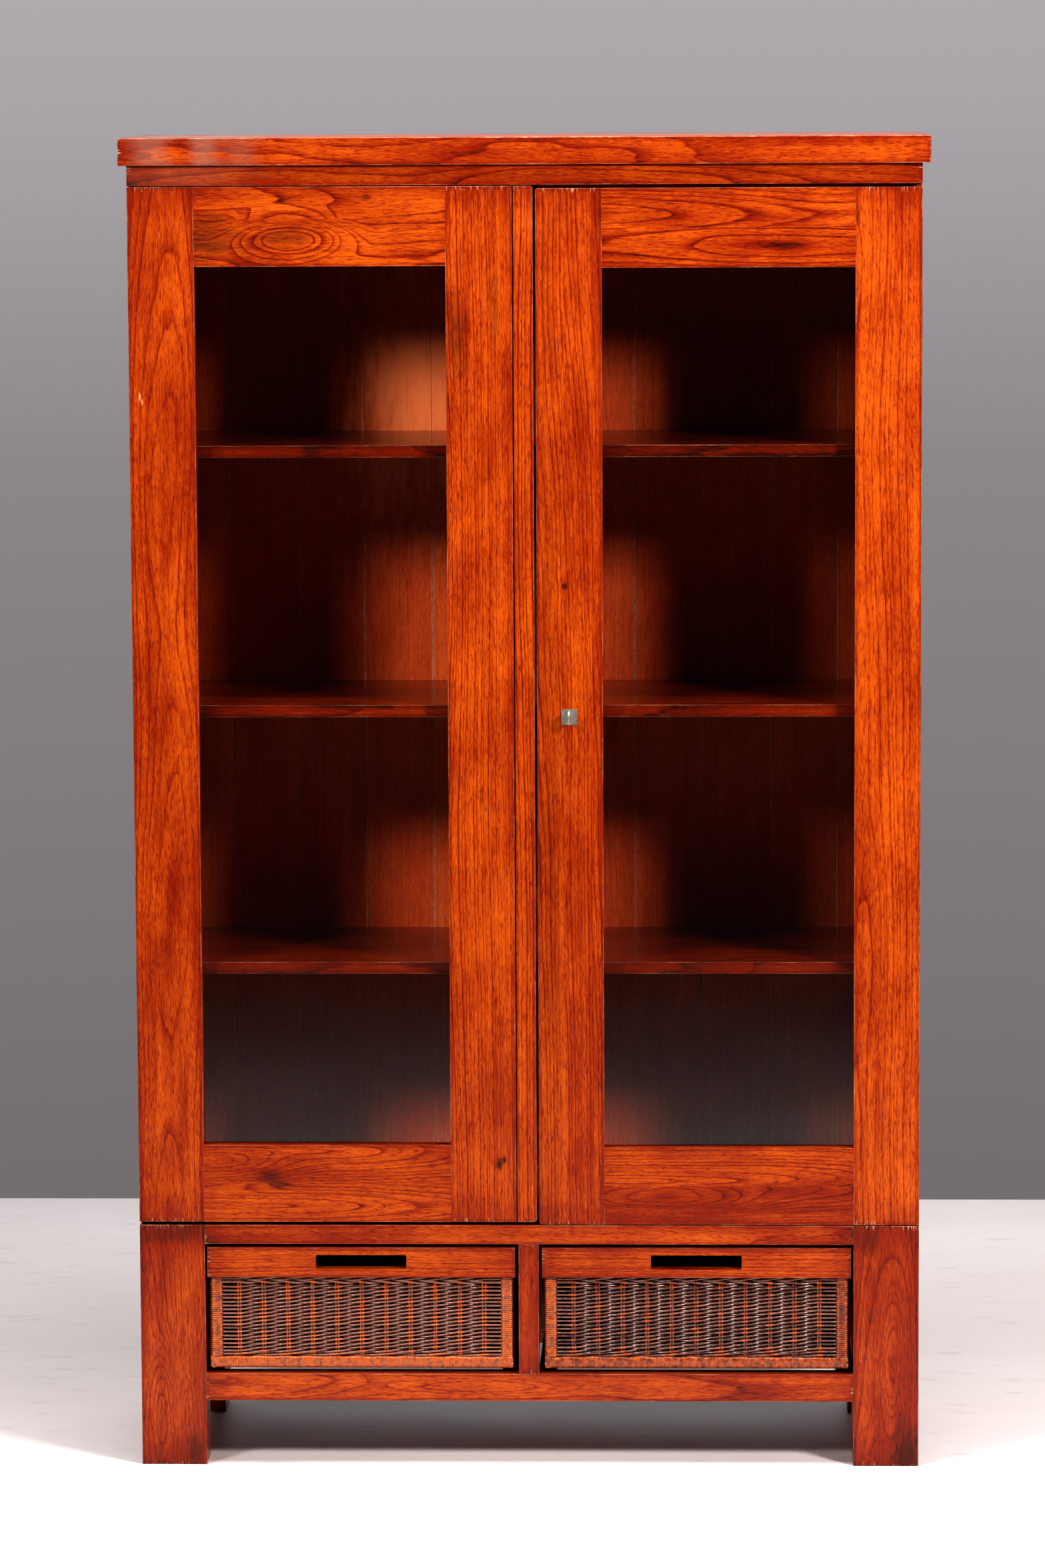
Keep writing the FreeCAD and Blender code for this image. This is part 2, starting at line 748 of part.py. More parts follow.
def hinge_bottom(side, place):
    """The lower end of a hinge, counted from its own door's bottom."""
    start = f"{side}_door_bottom"
    if place == "lower":
        return f"({start} + hinge_end_offset)"
    if place == "middle":
        return f"({start} + (door_height - hinge_height) / 2)"
    return f"({start} + door_height - hinge_end_offset - hinge_height)"


def hinge_span(side, near, far):
    """The lower x of something that lies from near to far inward of the hinge's axis."""
    return on_side(side, f"({HINGE_X} - ({far}))", f"{HINGE_X} - ({near})")


def leaf_low_y(part):
    """The front of a leaf: the door's lies before the joint plane, the case's behind it."""
    if part == "door":
        return f"({JOINT_PLANE} - hinge_leaf_gap / 2 - hinge_leaf_thick)"
    return f"({JOINT_PLANE} + hinge_leaf_gap / 2)"


def cut_hinge_seat(piece, side, place, part):
    """Lets a leaf and the barrel of a hinge into the wood that carries it."""
    bottom = f"{hinge_bottom(side, place)} - hinge_seat_clearance"
    height = "hinge_height + 2 * hinge_seat_clearance"
    leaf_reach = "(hinge_leaf_width + hinge_seat_clearance)"
    barrel_reach = "(barrel_radius + barrel_clearance)"
    low_y = leaf_low_y("door") if part == "door" else CASE_FRONT
    depth = "hinge_leaf_gap / 2 + hinge_leaf_thick - door_gap / 2"
    leaf_low = (hinge_span(side, "-hinge_inset", leaf_reach), low_y, bottom)
    cut(piece, place + "_leaf_seat", leaf_low, (f"{leaf_reach} + hinge_inset", depth, height))
    barrel_y = f"{JOINT_PLANE} - {barrel_reach}" if part == "door" else CASE_FRONT
    barrel_low = (hinge_span(side, "-hinge_inset", barrel_reach), barrel_y, bottom)
    barrel_size = (f"{barrel_reach} + hinge_inset", f"{barrel_reach} - door_gap / 2", height)
    cut(piece, place + "_barrel_seat", barrel_low, barrel_size)


def knuckle_spans(part):
    """The start and length of each knuckle of a leaf, as parts of the hinge's height."""
    third = "(hinge_height / 3)"
    if part == "door":
        return [(f"{third} + knuckle_gap / 2", f"{third} - knuckle_gap")]
    length = f"{third} - knuckle_gap / 2"
    return [("0", length), (f"2 * {third} + knuckle_gap / 2", length)]


def screw_places(side, place):
    """The x and z of the two screws of a leaf."""
    screw_x = hinge_span(side, "hinge_leaf_width * 0.6", "hinge_leaf_width * 0.6")
    middle = f"{hinge_bottom(side, place)} + hinge_height / 2"
    return [(screw_x, f"{middle} - screw_spacing / 2"), (screw_x, f"{middle} + screw_spacing / 2")]


def make_leaf(side, place, part):
    """A hinge's leaf: its plate, its knuckles bored for the pin, and its screw holes."""
    name = f"{side}_{place}_{part}_leaf"
    bottom = hinge_bottom(side, place)
    low_y = leaf_low_y(part)
    clear = "(barrel_radius + barrel_clearance)"
    plate_low = (hinge_span(side, clear, "hinge_leaf_width"), low_y, bottom)
    plate_size = (f"hinge_leaf_width - {clear}", "hinge_leaf_thick", "hinge_height")
    pieces = [block(name + "_plate", plate_low, plate_size)]
    axis_x = hinge_span(side, "0", "0")
    for number, (start, length) in enumerate(knuckle_spans(part)):
        knuckle_z = f"{bottom} + {start}"
        tongue_low = (hinge_span(side, "0", clear), low_y, knuckle_z)
        pieces.append(block(f"{name}_tongue_{number}", tongue_low, (clear, "hinge_leaf_thick", length)))
        barrel_start = (axis_x, JOINT_PLANE, knuckle_z)
        pieces.append(rod(f"{name}_knuckle_{number}", "z", barrel_start, "barrel_radius", length))
    tools = [rod(name + "_pin_hole", "z", (axis_x, JOINT_PLANE, bottom),
                 "hinge_pin_radius + hinge_pin_clearance", "hinge_height")]
    for number, (screw_x, screw_z) in enumerate(screw_places(side, place)):
        tools.append(rod(f"{name}_screw_hole_{number}", "y", (screw_x, low_y, screw_z),
                         "screw_head_radius", "hinge_leaf_thick"))
    return less(name, fused(name + "_blank", *pieces), *tools)


def make_screws(side, place, part):
    """The two screws of a leaf, their flat heads level with it."""
    screws = []
    low_y = leaf_low_y(part)
    for number, (screw_x, screw_z) in enumerate(screw_places(side, place)):
        name = f"{side}_{place}_{part}_screw_{number}"
        head_y = f"({low_y} + hinge_leaf_thick - screw_head_height)"
        shank_y = f"{head_y} - screw_length"
        head_start = head_y
        if part == "case":
            head_start = low_y
            shank_y = f"{low_y} + screw_head_height"
        head = rod(name + "_head", "y", (screw_x, head_start, screw_z),
                   "screw_head_radius - hinge_pin_clearance", "screw_head_height")
        shank = rod(name + "_shank", "y", (screw_x, shank_y, screw_z), "screw_radius", "screw_length")
        screws.append(fused(name, head, shank))
    return screws


def make_hinges():
    """Three butt hinges to a door: leaves on the case and the door, pins and screws."""
    case_leaves = []
    case_screws = []
    pins = []
    for side in SIDES:
        door_leaves = []
        door_screws = []
        for place in HINGE_PLACES:
            case_leaves.append(make_leaf(side, place, "case"))
            case_screws += make_screws(side, place, "case")
            door_leaves.append(make_leaf(side, place, "door"))
            door_screws += make_screws(side, place, "door")
            start = (hinge_span(side, "0", "0"), JOINT_PLANE, hinge_bottom(side, place))
            pins.append(rod(f"{side}_{place}_hinge_pin", "z", start, "hinge_pin_radius", "hinge_height"))
        group(side + "_door_hinge_leaves", door_leaves)
        group(side + "_door_hinge_screws", door_screws)
    group("case_hinge_leaves", case_leaves)
    group("case_hinge_screws", case_screws)
    group("hinge_pins", pins)


# -------------------------------------------------- the lock in the right door


def lock_box(clearance):
    """The lower corner and the size of the lock's case, grown by a clearance."""
    low = (RIGHT_DOOR_EDGE, f"{LOCK_FRONT} - {clearance}", f"key_height - lock_below_key - {clearance}")
    size = (f"lock_width + {clearance}", f"lock_depth + {clearance}", f"lock_height + 2 * {clearance}")
    return low, size


def lock_bolt_box(clearance):
    """The lower corner and the size of the lock's bolt, grown by a clearance."""
    low = (
        f"{RIGHT_DOOR_EDGE} + lock_bolt_clearance",
        f"{LOCK_FRONT} + (lock_depth - lock_bolt_thick) / 2 - {clearance}",
        f"key_height + lock_bolt_rise - {clearance}",
    )
    size = ("lock_bolt_length", f"lock_bolt_thick + 2 * {clearance}", f"lock_bolt_height + 2 * {clearance}")
    return low, size


def cut_keyhole(piece, low_y, depth):
    """Opens a keyhole through a piece: a round hole for the shaft, a slot for the bit."""
    radius = "key_shaft_radius + keyhole_clearance"
    bore(piece, "keyhole", "y", (KEY_X, low_y, "key_height"), radius, depth)
    drop = "(key_bit_drop + keyhole_clearance)"
    width = "(key_bow_thick + 2 * keyhole_clearance)"
    slot_low = (f"{KEY_X} - {width} / 2", low_y, f"key_height - {drop}")
    cut(piece, "keyhole_slot", slot_low, (width, depth, drop))


def cut_lock_seat(stile):
    """Lets the lock into the stile from behind and opens the keyhole to the front."""
    cut(stile, "lock_seat", *lock_box("lock_seat_clearance"))
    cut_keyhole(stile, FRONT, f"{LOCK_FRONT} - {FRONT}")


def make_escutcheon():
    """The square plate round the keyhole, on the face of the door."""
    low = (f"{KEY_X} - plate_side / 2", f"{FRONT} - plate_thick", "key_height - plate_side / 2")
    plate = board("escutcheon", low, ("plate_side", "plate_thick", "plate_side"))
    cut_keyhole(plate, low[1], "plate_thick")
    node(plate, "escutcheon")


def make_lock_case():
    """The lock's case, hollow, with openings for its bolt and for the key."""
    low, size = lock_box("0")
    case = board("lock_case", low, size)
    hollow_low = (f"{low[0]} + lock_wall", f"{low[1]} + lock_wall", f"{low[2]} + lock_wall")
    hollow_size = tuple(f"{side} - 2 * lock_wall" for side in size)
    cut(case, "hollow", hollow_low, hollow_size)
    bolt_low, bolt_size = lock_bolt_box("lock_bolt_clearance")
    cut(case, "bolt_mouth", (low[0], *bolt_low[1:]), ("lock_wall", *bolt_size[1:]))
    cut_keyhole(case, low[1], "lock_wall")
    node(case, "lock_case")


def make_lock_bolt():
    """The bolt that the key throws into the meeting strip."""
    node(board("lock_bolt", *lock_bolt_box("0")), "lock_bolt")


def make_key():
    """The key: a flat round bow with a hole, a shaft and a bit."""
    tip_y = f"({DOOR_BACK} - 2 * lock_wall)"
    shaft_y = f"({FRONT} - key_reach + key_bow_radius + key_bow_hole_radius)"
    bow_start = (f"{KEY_X} - key_bow_thick / 2", f"{FRONT} - key_reach + key_bow_radius", "key_height")
    bow = rod("key_bow", "x", bow_start, "key_bow_radius", "key_bow_thick")
    hole = rod("key_bow_hole", "x", bow_start, "key_bow_hole_radius", "key_bow_thick")
    shaft = rod("key_shaft", "y", (KEY_X, shaft_y, "key_height"), "key_shaft_radius", f"{tip_y} - {shaft_y}")
    bit_low = (f"{KEY_X} - key_bow_thick / 2", f"{tip_y} - key_bit_length", "key_height - key_bit_drop")
    bit = block("key_bit", bit_low, ("key_bow_thick", "key_bit_length", "key_bit_drop"))
    node(fused("key", less("key_bow_ring", bow, hole), shaft, bit), "key")


# --------------------------------------------- the slide bolt in the left door


def make_bolt_guide():
    """The plate on the back of the left door with two staples that guide the rod."""
    plate_low = (f"{ROD_X} - bolt_plate_width / 2", DOOR_BACK, f"{ROD_TOP} - bolt_plate_height")
    plate = block("bolt_plate", plate_low, ("bolt_plate_width", "bolt_plate_thick", "bolt_plate_height"))
    staple_size = ("staple_width", "rod_standoff + rod_radius + rod_clearance + staple_wall", "staple_height")
    staples = []
    for number, low_z in enumerate((plate_low[2], f"{ROD_TOP} - staple_height")):
        staple_low = (f"{ROD_X} - staple_width / 2", DOOR_BACK, low_z)
        staples.append(block(f"bolt_staple_{number}", staple_low, staple_size))
    bore_low = (ROD_X, ROD_Y, plate_low[2])
    hole = rod("bolt_guide_hole", "z", bore_low, "rod_radius + rod_clearance", "bolt_plate_height")
    node(less("bolt_guide", fused("bolt_guide_blank", plate, *staples), hole), "bolt_guide")


def make_bolt_rod():
    """The sliding rod with its small knob."""
    bar = rod("bolt_bar", "z", (ROD_X, ROD_Y, f"{ROD_TOP} - rod_length"), "rod_radius", "rod_length")
    knob_z = f"{ROD_TOP} - bolt_plate_height + staple_height + rod_clearance + rod_knob_radius"
    knob = rod("bolt_knob", "y", (ROD_X, ROD_Y, knob_z), "rod_knob_radius", "rod_radius + rod_knob_length")
    node(fused("bolt_rod", bar, knob), "bolt_rod")


def make_bolt_keeper():
    """The plate under the case's top board that the rod rises through."""
    low = (f"{ROD_X} - keeper_side / 2", CASE_FRONT, f"{TOP_BOARD_BOTTOM} - keeper_thick")
    keeper = board("bolt_keeper", low, ("keeper_side", "keeper_side", "keeper_thick"))
    bore(keeper, "rod_hole", "z", (ROD_X, ROD_Y, low[2]), "rod_radius + rod_clearance", "keeper_thick")
    node(keeper, "bolt_keeper")


# ----------------------------------------------------------------- the drawers


def make_drawer_rail(side):
    """The wooden rail across a drawer's front, with the slot that serves as its handle."""
    middle = f"{side}_drawer_middle"
    low = (f"{middle} - drawer_width / 2", f"{FRONT} + drawer_setback", "drawer_rail_bottom")
    rail = board(side + "_drawer_rail", low, ("drawer_width", "drawer_rail_thick", "drawer_rail_height"))
    ease(rail, "edge_round", front_edge)
    slot_low = (f"{middle} - slot_width / 2", low[1], "slot_middle_height - slot_height / 2")
    cut(rail, "slot", slot_low, ("slot_width", "drawer_rail_thick", "slot_height"))
    half_slot = DRIVING_SIZES["slot_width"] / 2
    half_rail = DRIVING_SIZES["drawer_width"] / 2
    ease(rail, "slot_round", lambda run, middle: runs_along("y", run)
         and abs(abs(middle.x - half_rail) - half_slot) < 0.01)
    node(rail, side + "_drawer_rail")


def make_rim(side):
    """The three sticks on the basket's top edge, behind the drawer's front rail."""
    low_x = f"({side}_drawer_middle - basket_width / 2)"
    low_y = f"({FRONT} + drawer_setback + drawer_rail_thick)"
    back_y = f"({FRONT} + drawer_setback + basket_setback + basket_depth)"
    stick = ("rim_thick", f"{back_y} - {low_y}", "rim_height")
    cross = ("basket_width - 2 * rim_thick", "rim_thick", "rim_height")
    low_z = "drawer_rail_bottom"
    sticks = [
        board(side + "_rim_low_x", (low_x, low_y, low_z), stick),
        board(side + "_rim_high_x", (f"{low_x} + basket_width - rim_thick", low_y, low_z), stick),
        board(side + "_rim_back", (f"{low_x} + rim_thick", f"{back_y} - rim_thick", low_z), cross),
    ]
    group(side + "_drawer_rim", sticks)


def make_basket(side):
    """The basket: woven walls and bottom as one shell, between four corner posts."""
    low_x = f"({side}_drawer_middle - basket_width / 2)"
    low_y = f"({FRONT} + drawer_setback + basket_setback)"
    height = "drawer_rail_bottom - basket_bottom"
    size = ("basket_width", "basket_depth", height)
    shell = board(side + "_basket_shell", (low_x, low_y, "basket_bottom"), size)
    hollow_low = (f"{low_x} + basket_wall", f"{low_y} + basket_wall", "basket_bottom + basket_wall")
    cut(shell, "hollow", hollow_low,
        ("basket_width - 2 * basket_wall", "basket_depth - 2 * basket_wall", f"{height} - basket_wall"))
    pieces = [shell]
    for x_end, post_x in (("low", low_x), ("high", f"{low_x} + basket_width - basket_post")):
        for y_end, post_y in (("front", low_y), ("back", f"{low_y} + basket_depth - basket_post")):
            post_low = (post_x, post_y, "basket_bottom")
            post_size = ("basket_post", "basket_post", height)
            cut(shell, f"{x_end}_{y_end}_notch", post_low, post_size)
            pieces.append(board(f"{side}_basket_{x_end}_{y_end}_post", post_low, post_size))
    group(side + "_basket", pieces)


# ------------------------------------------------------------- the whole cabinet


def make_cabinet():
    """Builds every sub-part."""
    make_sheet()
    make_top_slab()
    make_frieze_rail()
    top_board = make_case_board("case_top", TOP_BOARD_BOTTOM)
    depth = f"{ROD_TOP} + rod_throw + rod_clearance - {TOP_BOARD_BOTTOM}"
    bore(top_board, "bolt_hole", "z", (ROD_X, ROD_Y, TOP_BOARD_BOTTOM), "rod_radius + rod_clearance", depth)
    make_case_board("case_bottom", "base_height")
    for side in SIDES:
        make_side_frame(side)
    for shelf in SHELVES:
        make_shelf(shelf)
    make_shelf_pins()
    make_back_boards()
    make_back_rails()
    for side in SIDES:
        for end in ("front", "back"):
            make_leg(side, end)
    make_base_front()
    make_base_walls()
    make_drawer_runners()
    make_doors()
    make_hinges()
    make_escutcheon()
    make_lock_case()
    make_lock_bolt()
    make_key()
    make_bolt_guide()
    make_bolt_rod()
    make_bolt_keeper()
    for side in SIDES:
        make_drawer_rail(side)
        make_rim(side)
        make_basket(side)
    doc.recompute()


def check_and_write():
    """Checks every object of the document and each sub-part, then writes the files."""
    failed = [thing.Name for thing in doc.Objects if {"Invalid", "Error"} & set(thing.State)]
    bad = [piece.Label for piece in nodes if piece.Shape.isNull() or not piece.Shape.isValid()]
    if failed or bad:
        raise RuntimeError(f"failed: {failed}, bad shapes: {bad}")
    os.makedirs("parts", exist_ok=True)
    for piece in nodes:
        piece.Shape.exportStep(f"parts/{piece.Label}.step")
        box = piece.Shape.BoundBox
        places = f"x {box.XMin:7.1f} {box.XMax:7.1f}  y {box.YMin:7.1f} {box.YMax:7.1f}"
        places += f"  z {box.ZMin:7.1f} {box.ZMax:7.1f}"
        print(f"{piece.Label:26s} solids {len(piece.Shape.Solids):2d}  {places}")
    print(len(nodes), "sub-parts")


make_cabinet()
check_and_write()
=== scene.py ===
"""The looks of a glazed cabinet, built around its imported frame: materials, woven baskets and studio.

Lengths are in metres, z is up and the cabinet faces -y.
"""

import json
import math
import random

import bpy
import numpy as np
from mathutils import Matrix, Vector


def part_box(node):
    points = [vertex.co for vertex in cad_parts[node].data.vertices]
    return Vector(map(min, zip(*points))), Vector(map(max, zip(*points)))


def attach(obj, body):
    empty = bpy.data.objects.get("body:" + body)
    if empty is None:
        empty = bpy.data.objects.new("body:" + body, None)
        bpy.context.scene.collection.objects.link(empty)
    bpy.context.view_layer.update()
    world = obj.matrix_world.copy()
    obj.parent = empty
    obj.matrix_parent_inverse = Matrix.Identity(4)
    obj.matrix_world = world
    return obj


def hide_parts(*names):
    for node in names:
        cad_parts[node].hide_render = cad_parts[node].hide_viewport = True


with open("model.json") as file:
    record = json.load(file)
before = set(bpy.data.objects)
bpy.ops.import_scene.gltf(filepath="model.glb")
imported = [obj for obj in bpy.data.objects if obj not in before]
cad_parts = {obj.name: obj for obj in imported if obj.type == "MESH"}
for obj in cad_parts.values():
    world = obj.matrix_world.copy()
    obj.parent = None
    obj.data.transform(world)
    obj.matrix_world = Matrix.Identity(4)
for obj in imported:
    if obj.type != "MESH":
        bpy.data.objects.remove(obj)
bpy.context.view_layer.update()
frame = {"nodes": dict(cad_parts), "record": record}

MM = 0.001
CASE_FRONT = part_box("left_hinge_stile")[0].y
CASE_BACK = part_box("back_rails")[1].y
BACK_BOARD = 98 * MM


# ---------------------------------------------------------------- node tools


def screen(red, green, blue):
    """A colour given as it shows on a screen, 0 to 255, turned into the renderer's own values."""
    values = []
    for value in (red / 255, green / 255, blue / 255):
        values.append(value / 12.92 if value <= 0.04045 else ((value + 0.055) / 1.055) ** 2.4)
    return (*values, 1.0)


class Nodes:
    """Short calls that add and link the nodes of one tree.

    A value may be a number, a colour or another node's output.
    """

    def __init__(self, tree):
        self.tree = tree

    def feed(self, socket, value):
        if isinstance(value, bpy.types.NodeSocket):
            self.tree.links.new(value, socket)
        else:
            socket.default_value = value

    def add(self, kind, inputs=None, **settings):
        made = self.tree.nodes.new(kind)
        for name, value in settings.items():
            setattr(made, name, value)
        for key, value in (inputs or {}).items():
            self.feed(made.inputs[key], value)
        return made

    def math(self, operation, *values):
        made = self.add("ShaderNodeMath", operation=operation)
        for socket, value in zip(made.inputs, values):
            self.feed(socket, value)
        return made.outputs[0]

    def vector(self, operation, *values):
        made = self.add("ShaderNodeVectorMath", operation=operation)
        for socket, value in zip(made.inputs, values):
            self.feed(socket, value)
        return made.outputs[0]

    def spread(self, value, low, high, to_low=0.0, to_high=1.0):
        """value from low..high to to_low..to_high, held at the ends and eased between them."""
        inputs = {"Value": value, "From Min": low, "From Max": high, "To Min": to_low, "To Max": to_high}
        return self.add("ShaderNodeMapRange", inputs, interpolation_type="SMOOTHSTEP").outputs["Result"]

    def mix(self, factor, first, second):
        """The first colour where factor is 0, the second where it is 1."""
        made = self.add("ShaderNodeMix", data_type="RGBA")
        for index, value in ((0, factor), (6, first), (7, second)):
            self.feed(made.inputs[index], value)
        return made.outputs[2]

    def choose(self, factor, first, second):
        """The first vector where factor is 0, the second where it is 1."""
        made = self.add("ShaderNodeMix", data_type="VECTOR")
        for index, value in ((0, factor), (4, first), (5, second)):
            self.feed(made.inputs[index], value)
        return made.outputs[1]

    def ramp(self, value, *stops):
        """stops are (place from 0 to 1, colour)."""
        made = self.add("ShaderNodeValToRGB", {"Fac": value})
        points = made.color_ramp.elements
        while len(points) < len(stops):
            points.new(0.5)
        for point, (place, colour) in zip(points, stops):
            point.position = place
            point.color = colour
        return made.outputs["Color"]

    def noise(self, vector, scale=1.0, detail=2.0, roughness=0.5):
        """Smooth noise from 0 to 1, about 1 / scale from one lump to the next."""
        inputs = {"Vector": vector, "Scale": scale, "Detail": detail, "Roughness": roughness}
        return self.add("ShaderNodeTexNoise", inputs).outputs["Fac"]

    def stretched(self, vector, *scales):
        """A place scaled by its own amount each way, so that noise on it is drawn out."""
        return self.vector("MULTIPLY", vector, scales)

    def parts(self, vector):
        """The x, y and z of a vector."""
        return self.add("ShaderNodeSeparateXYZ", {0: vector}).outputs[:3]

    def join(self, *values):
        """A vector from its x, y and z."""
        return self.add("ShaderNodeCombineXYZ", dict(enumerate(values))).outputs[0]

    def bump(self, height, distance, strength):
        inputs = {"Height": height, "Distance": distance, "Strength": strength}
        return self.add("ShaderNodeBump", inputs).outputs["Normal"]

    def place(self):
        """A point's place in the row frame, in metres."""
        return self.add("ShaderNodeTexCoord").outputs["Object"]


def new_material(name):
    """An empty node material with its Principled shader, as (material, nodes, shader)."""
    material = bpy.data.materials.new(name)
    material.use_nodes = True
    nodes = Nodes(material.node_tree)
    return material, nodes, material.node_tree.nodes["Principled BSDF"]


def new_group(name, inputs, outputs):
    """An empty node group, as (group, nodes, its inputs by name, its output node).

    inputs and outputs are pairs of a name and a kind: Vector, Float or Color.
    """
    group = bpy.data.node_groups.new(name, "ShaderNodeTree")
    for socket_name, kind in inputs:
        group.interface.new_socket(socket_name, in_out="INPUT", socket_type=f"NodeSocket{kind}")
    for socket_name, kind in outputs:
        group.interface.new_socket(socket_name, in_out="OUTPUT", socket_type=f"NodeSocket{kind}")
    nodes = Nodes(group)
    given = nodes.add("NodeGroupInput").outputs
    return group, nodes, given, nodes.add("NodeGroupOutput")


# ---------------------------------------------------------------- wood


WOOD_INPUTS = {
    "Vector": ("Place", "Half Size"),
    "Float": ("Board", "Phase", "Seed", "Pith", "Side", "Lean", "Ring", "Swell", "Wear", "Lines", "Light",
              "Dull", "Seam"),
    "Color": ("Pale", "Middle", "Dark", "Worn"),
}
BROKEN_LINE = 0.5
HEART_SWAY = 50 * MM
RING_RIPPLE = 3.5 * MM
RING_UNEVEN = 1.6
FIBRE_SHARE = 0.5
STREAK_SHARE = 0.3
BLOTCH_SHARE = 0.48
PORE_SHARE = 0.32
TONE_SHARE = 0.2
EDGE_SHADE = 0.13
END_SHADE = 0.11
RIM_RAGGED = 2.8 * MM


def wood_group():
    """Plain-sawn, ring-porous wood under a stain.

    It has growth rings cut by the board's face, dashes of open pores, blotches in the stain, and finish
    worn off along the edges. The inputs:

    - Place is a point in the board's own directions: along, across, through.
    - Board is the width of one glued strip, and Phase moves the strips aside by that share of it.
    - Pith and Side are how deep and how far aside the heart lies, and Lean how fast its depth changes.
    - Ring is the width of a year, and Swell pushes the rings out.
    - Wear, Lines and Seam Highlight are how strong the worn rim, the rings and the painted highlight along
      the seams between strips are.
    - Light is the stain's tone, from Dark at 0 to Pale at 1, and Dull is added to the roughness.
    """
    inputs = [(name, kind) for kind, names in WOOD_INPUTS.items() for name in names]
    outputs = (("Color", "Color"), ("Roughness", "Float"), ("Height", "Float"))
    group, n, given, result = new_group("stained_grain", inputs, outputs)
    along, across, through = n.parts(given["Place"])

    # Boards glued side by side: each has its own stretch of grain, its own heart and its own tone.
    count = n.math("FLOOR", n.math("ADD", n.math("DIVIDE", across, given["Board"]), given["Phase"]))
    to_middle = n.math("SUBTRACT", 0.5, given["Phase"])
    middle = n.math("MULTIPLY", n.math("ADD", count, to_middle), given["Board"])
    local = n.math("SUBTRACT", across, middle)
    number = n.join(count, given["Seed"], 0.0)
    luck = n.add("ShaderNodeTexWhiteNoise", {"Vector": number}, noise_dimensions="2D")
    shift, heart, tone = n.parts(luck.outputs["Color"])
    moved = n.math("ADD", along, n.math("MULTIPLY", shift, 7.0))
    seeded = n.math("ADD", through, n.math("MULTIPLY", given["Seed"], 1.7))
    spot = n.join(moved, local, seeded)

    # The rings: distance from a heart line that leans through the board, bent by two sizes of waviness.
    sway = n.noise(n.stretched(spot, 1.6, 7.0, 7.0), detail=1.0)
    ripple = n.noise(n.stretched(spot, 8.0, 40.0, 40.0), detail=2.0)
    aside = n.math("SUBTRACT", local, n.math("MULTIPLY", n.math("SUBTRACT", heart, 0.5), given["Board"]))
    aside = n.math("ADD", aside, given["Side"])
    depth = n.math("ADD", given["Pith"], n.math("MULTIPLY", given["Lean"], n.math("ADD", along, through)))
    depth = n.math("ADD", depth, n.math("MULTIPLY", n.math("SUBTRACT", sway, 0.5), HEART_SWAY))
    radius = n.math("SQRT", n.math("ADD", n.math("POWER", aside, 2.0), n.math("POWER", depth, 2.0)))
    radius = n.math("ADD", radius, n.math("ADD", n.math("MULTIPLY", ripple, RING_RIPPLE), given["Swell"]))
    uneven = n.noise(n.join(n.math("MULTIPLY", radius, 130.0), given["Seed"], 0.0), detail=0.0)
    rings = n.math("ADD", n.math("DIVIDE", radius, given["Ring"]), n.math("MULTIPLY", uneven, RING_UNEVEN))
    turn = n.math("FRACT", rings)
    year = n.add("ShaderNodeTexWhiteNoise", {"W": n.math("FLOOR", rings)}, noise_dimensions="1D")
    fade = n.math("POWER", n.math("SUBTRACT", 1.0, turn), 6.0)
    line = n.math("MAXIMUM", fade, n.spread(turn, 0.93, 1.0))
    line = n.math("MULTIPLY", line, n.spread(year.outputs["Value"], 0.0, 1.0, 0.25, 1.0))
    broken = n.noise(n.stretched(spot, 40.0, 600.0, 600.0), detail=1.0)
    line = n.math("MULTIPLY", line, n.spread(broken, 0.3, 0.55, BROKEN_LINE, 1.0))

    # Pores, fibres and blotches.
    pore = n.spread(n.noise(n.stretched(spot, 95.0, 850.0, 850.0), detail=1.0), 0.54, 0.65)
    pore = n.math("MULTIPLY", pore, n.math("ADD", 0.6, n.math("MULTIPLY", line, 0.4)))
    fibre = n.noise(n.stretched(spot, 40.0, 420.0, 420.0), detail=3.0, roughness=0.8)
    streak = n.noise(n.stretched(spot, 3.0, 90.0, 90.0), detail=2.0)
    blotch = n.noise(n.stretched(spot, 7.0, 16.0, 16.0), detail=3.0, roughness=0.6)
    light = given["Light"]
    shares = ((tone, TONE_SHARE), (fibre, FIBRE_SHARE), (streak, STREAK_SHARE), (blotch, BLOTCH_SHARE))
    for pattern, share in shares:
        light = n.math("ADD", light, n.math("MULTIPLY", n.math("SUBTRACT", pattern, 0.5), share))
    light = n.math("SUBTRACT", light, n.math("MULTIPLY", line, given["Lines"]))
    light = n.math("SUBTRACT", light, n.math("MULTIPLY", pore, PORE_SHARE))

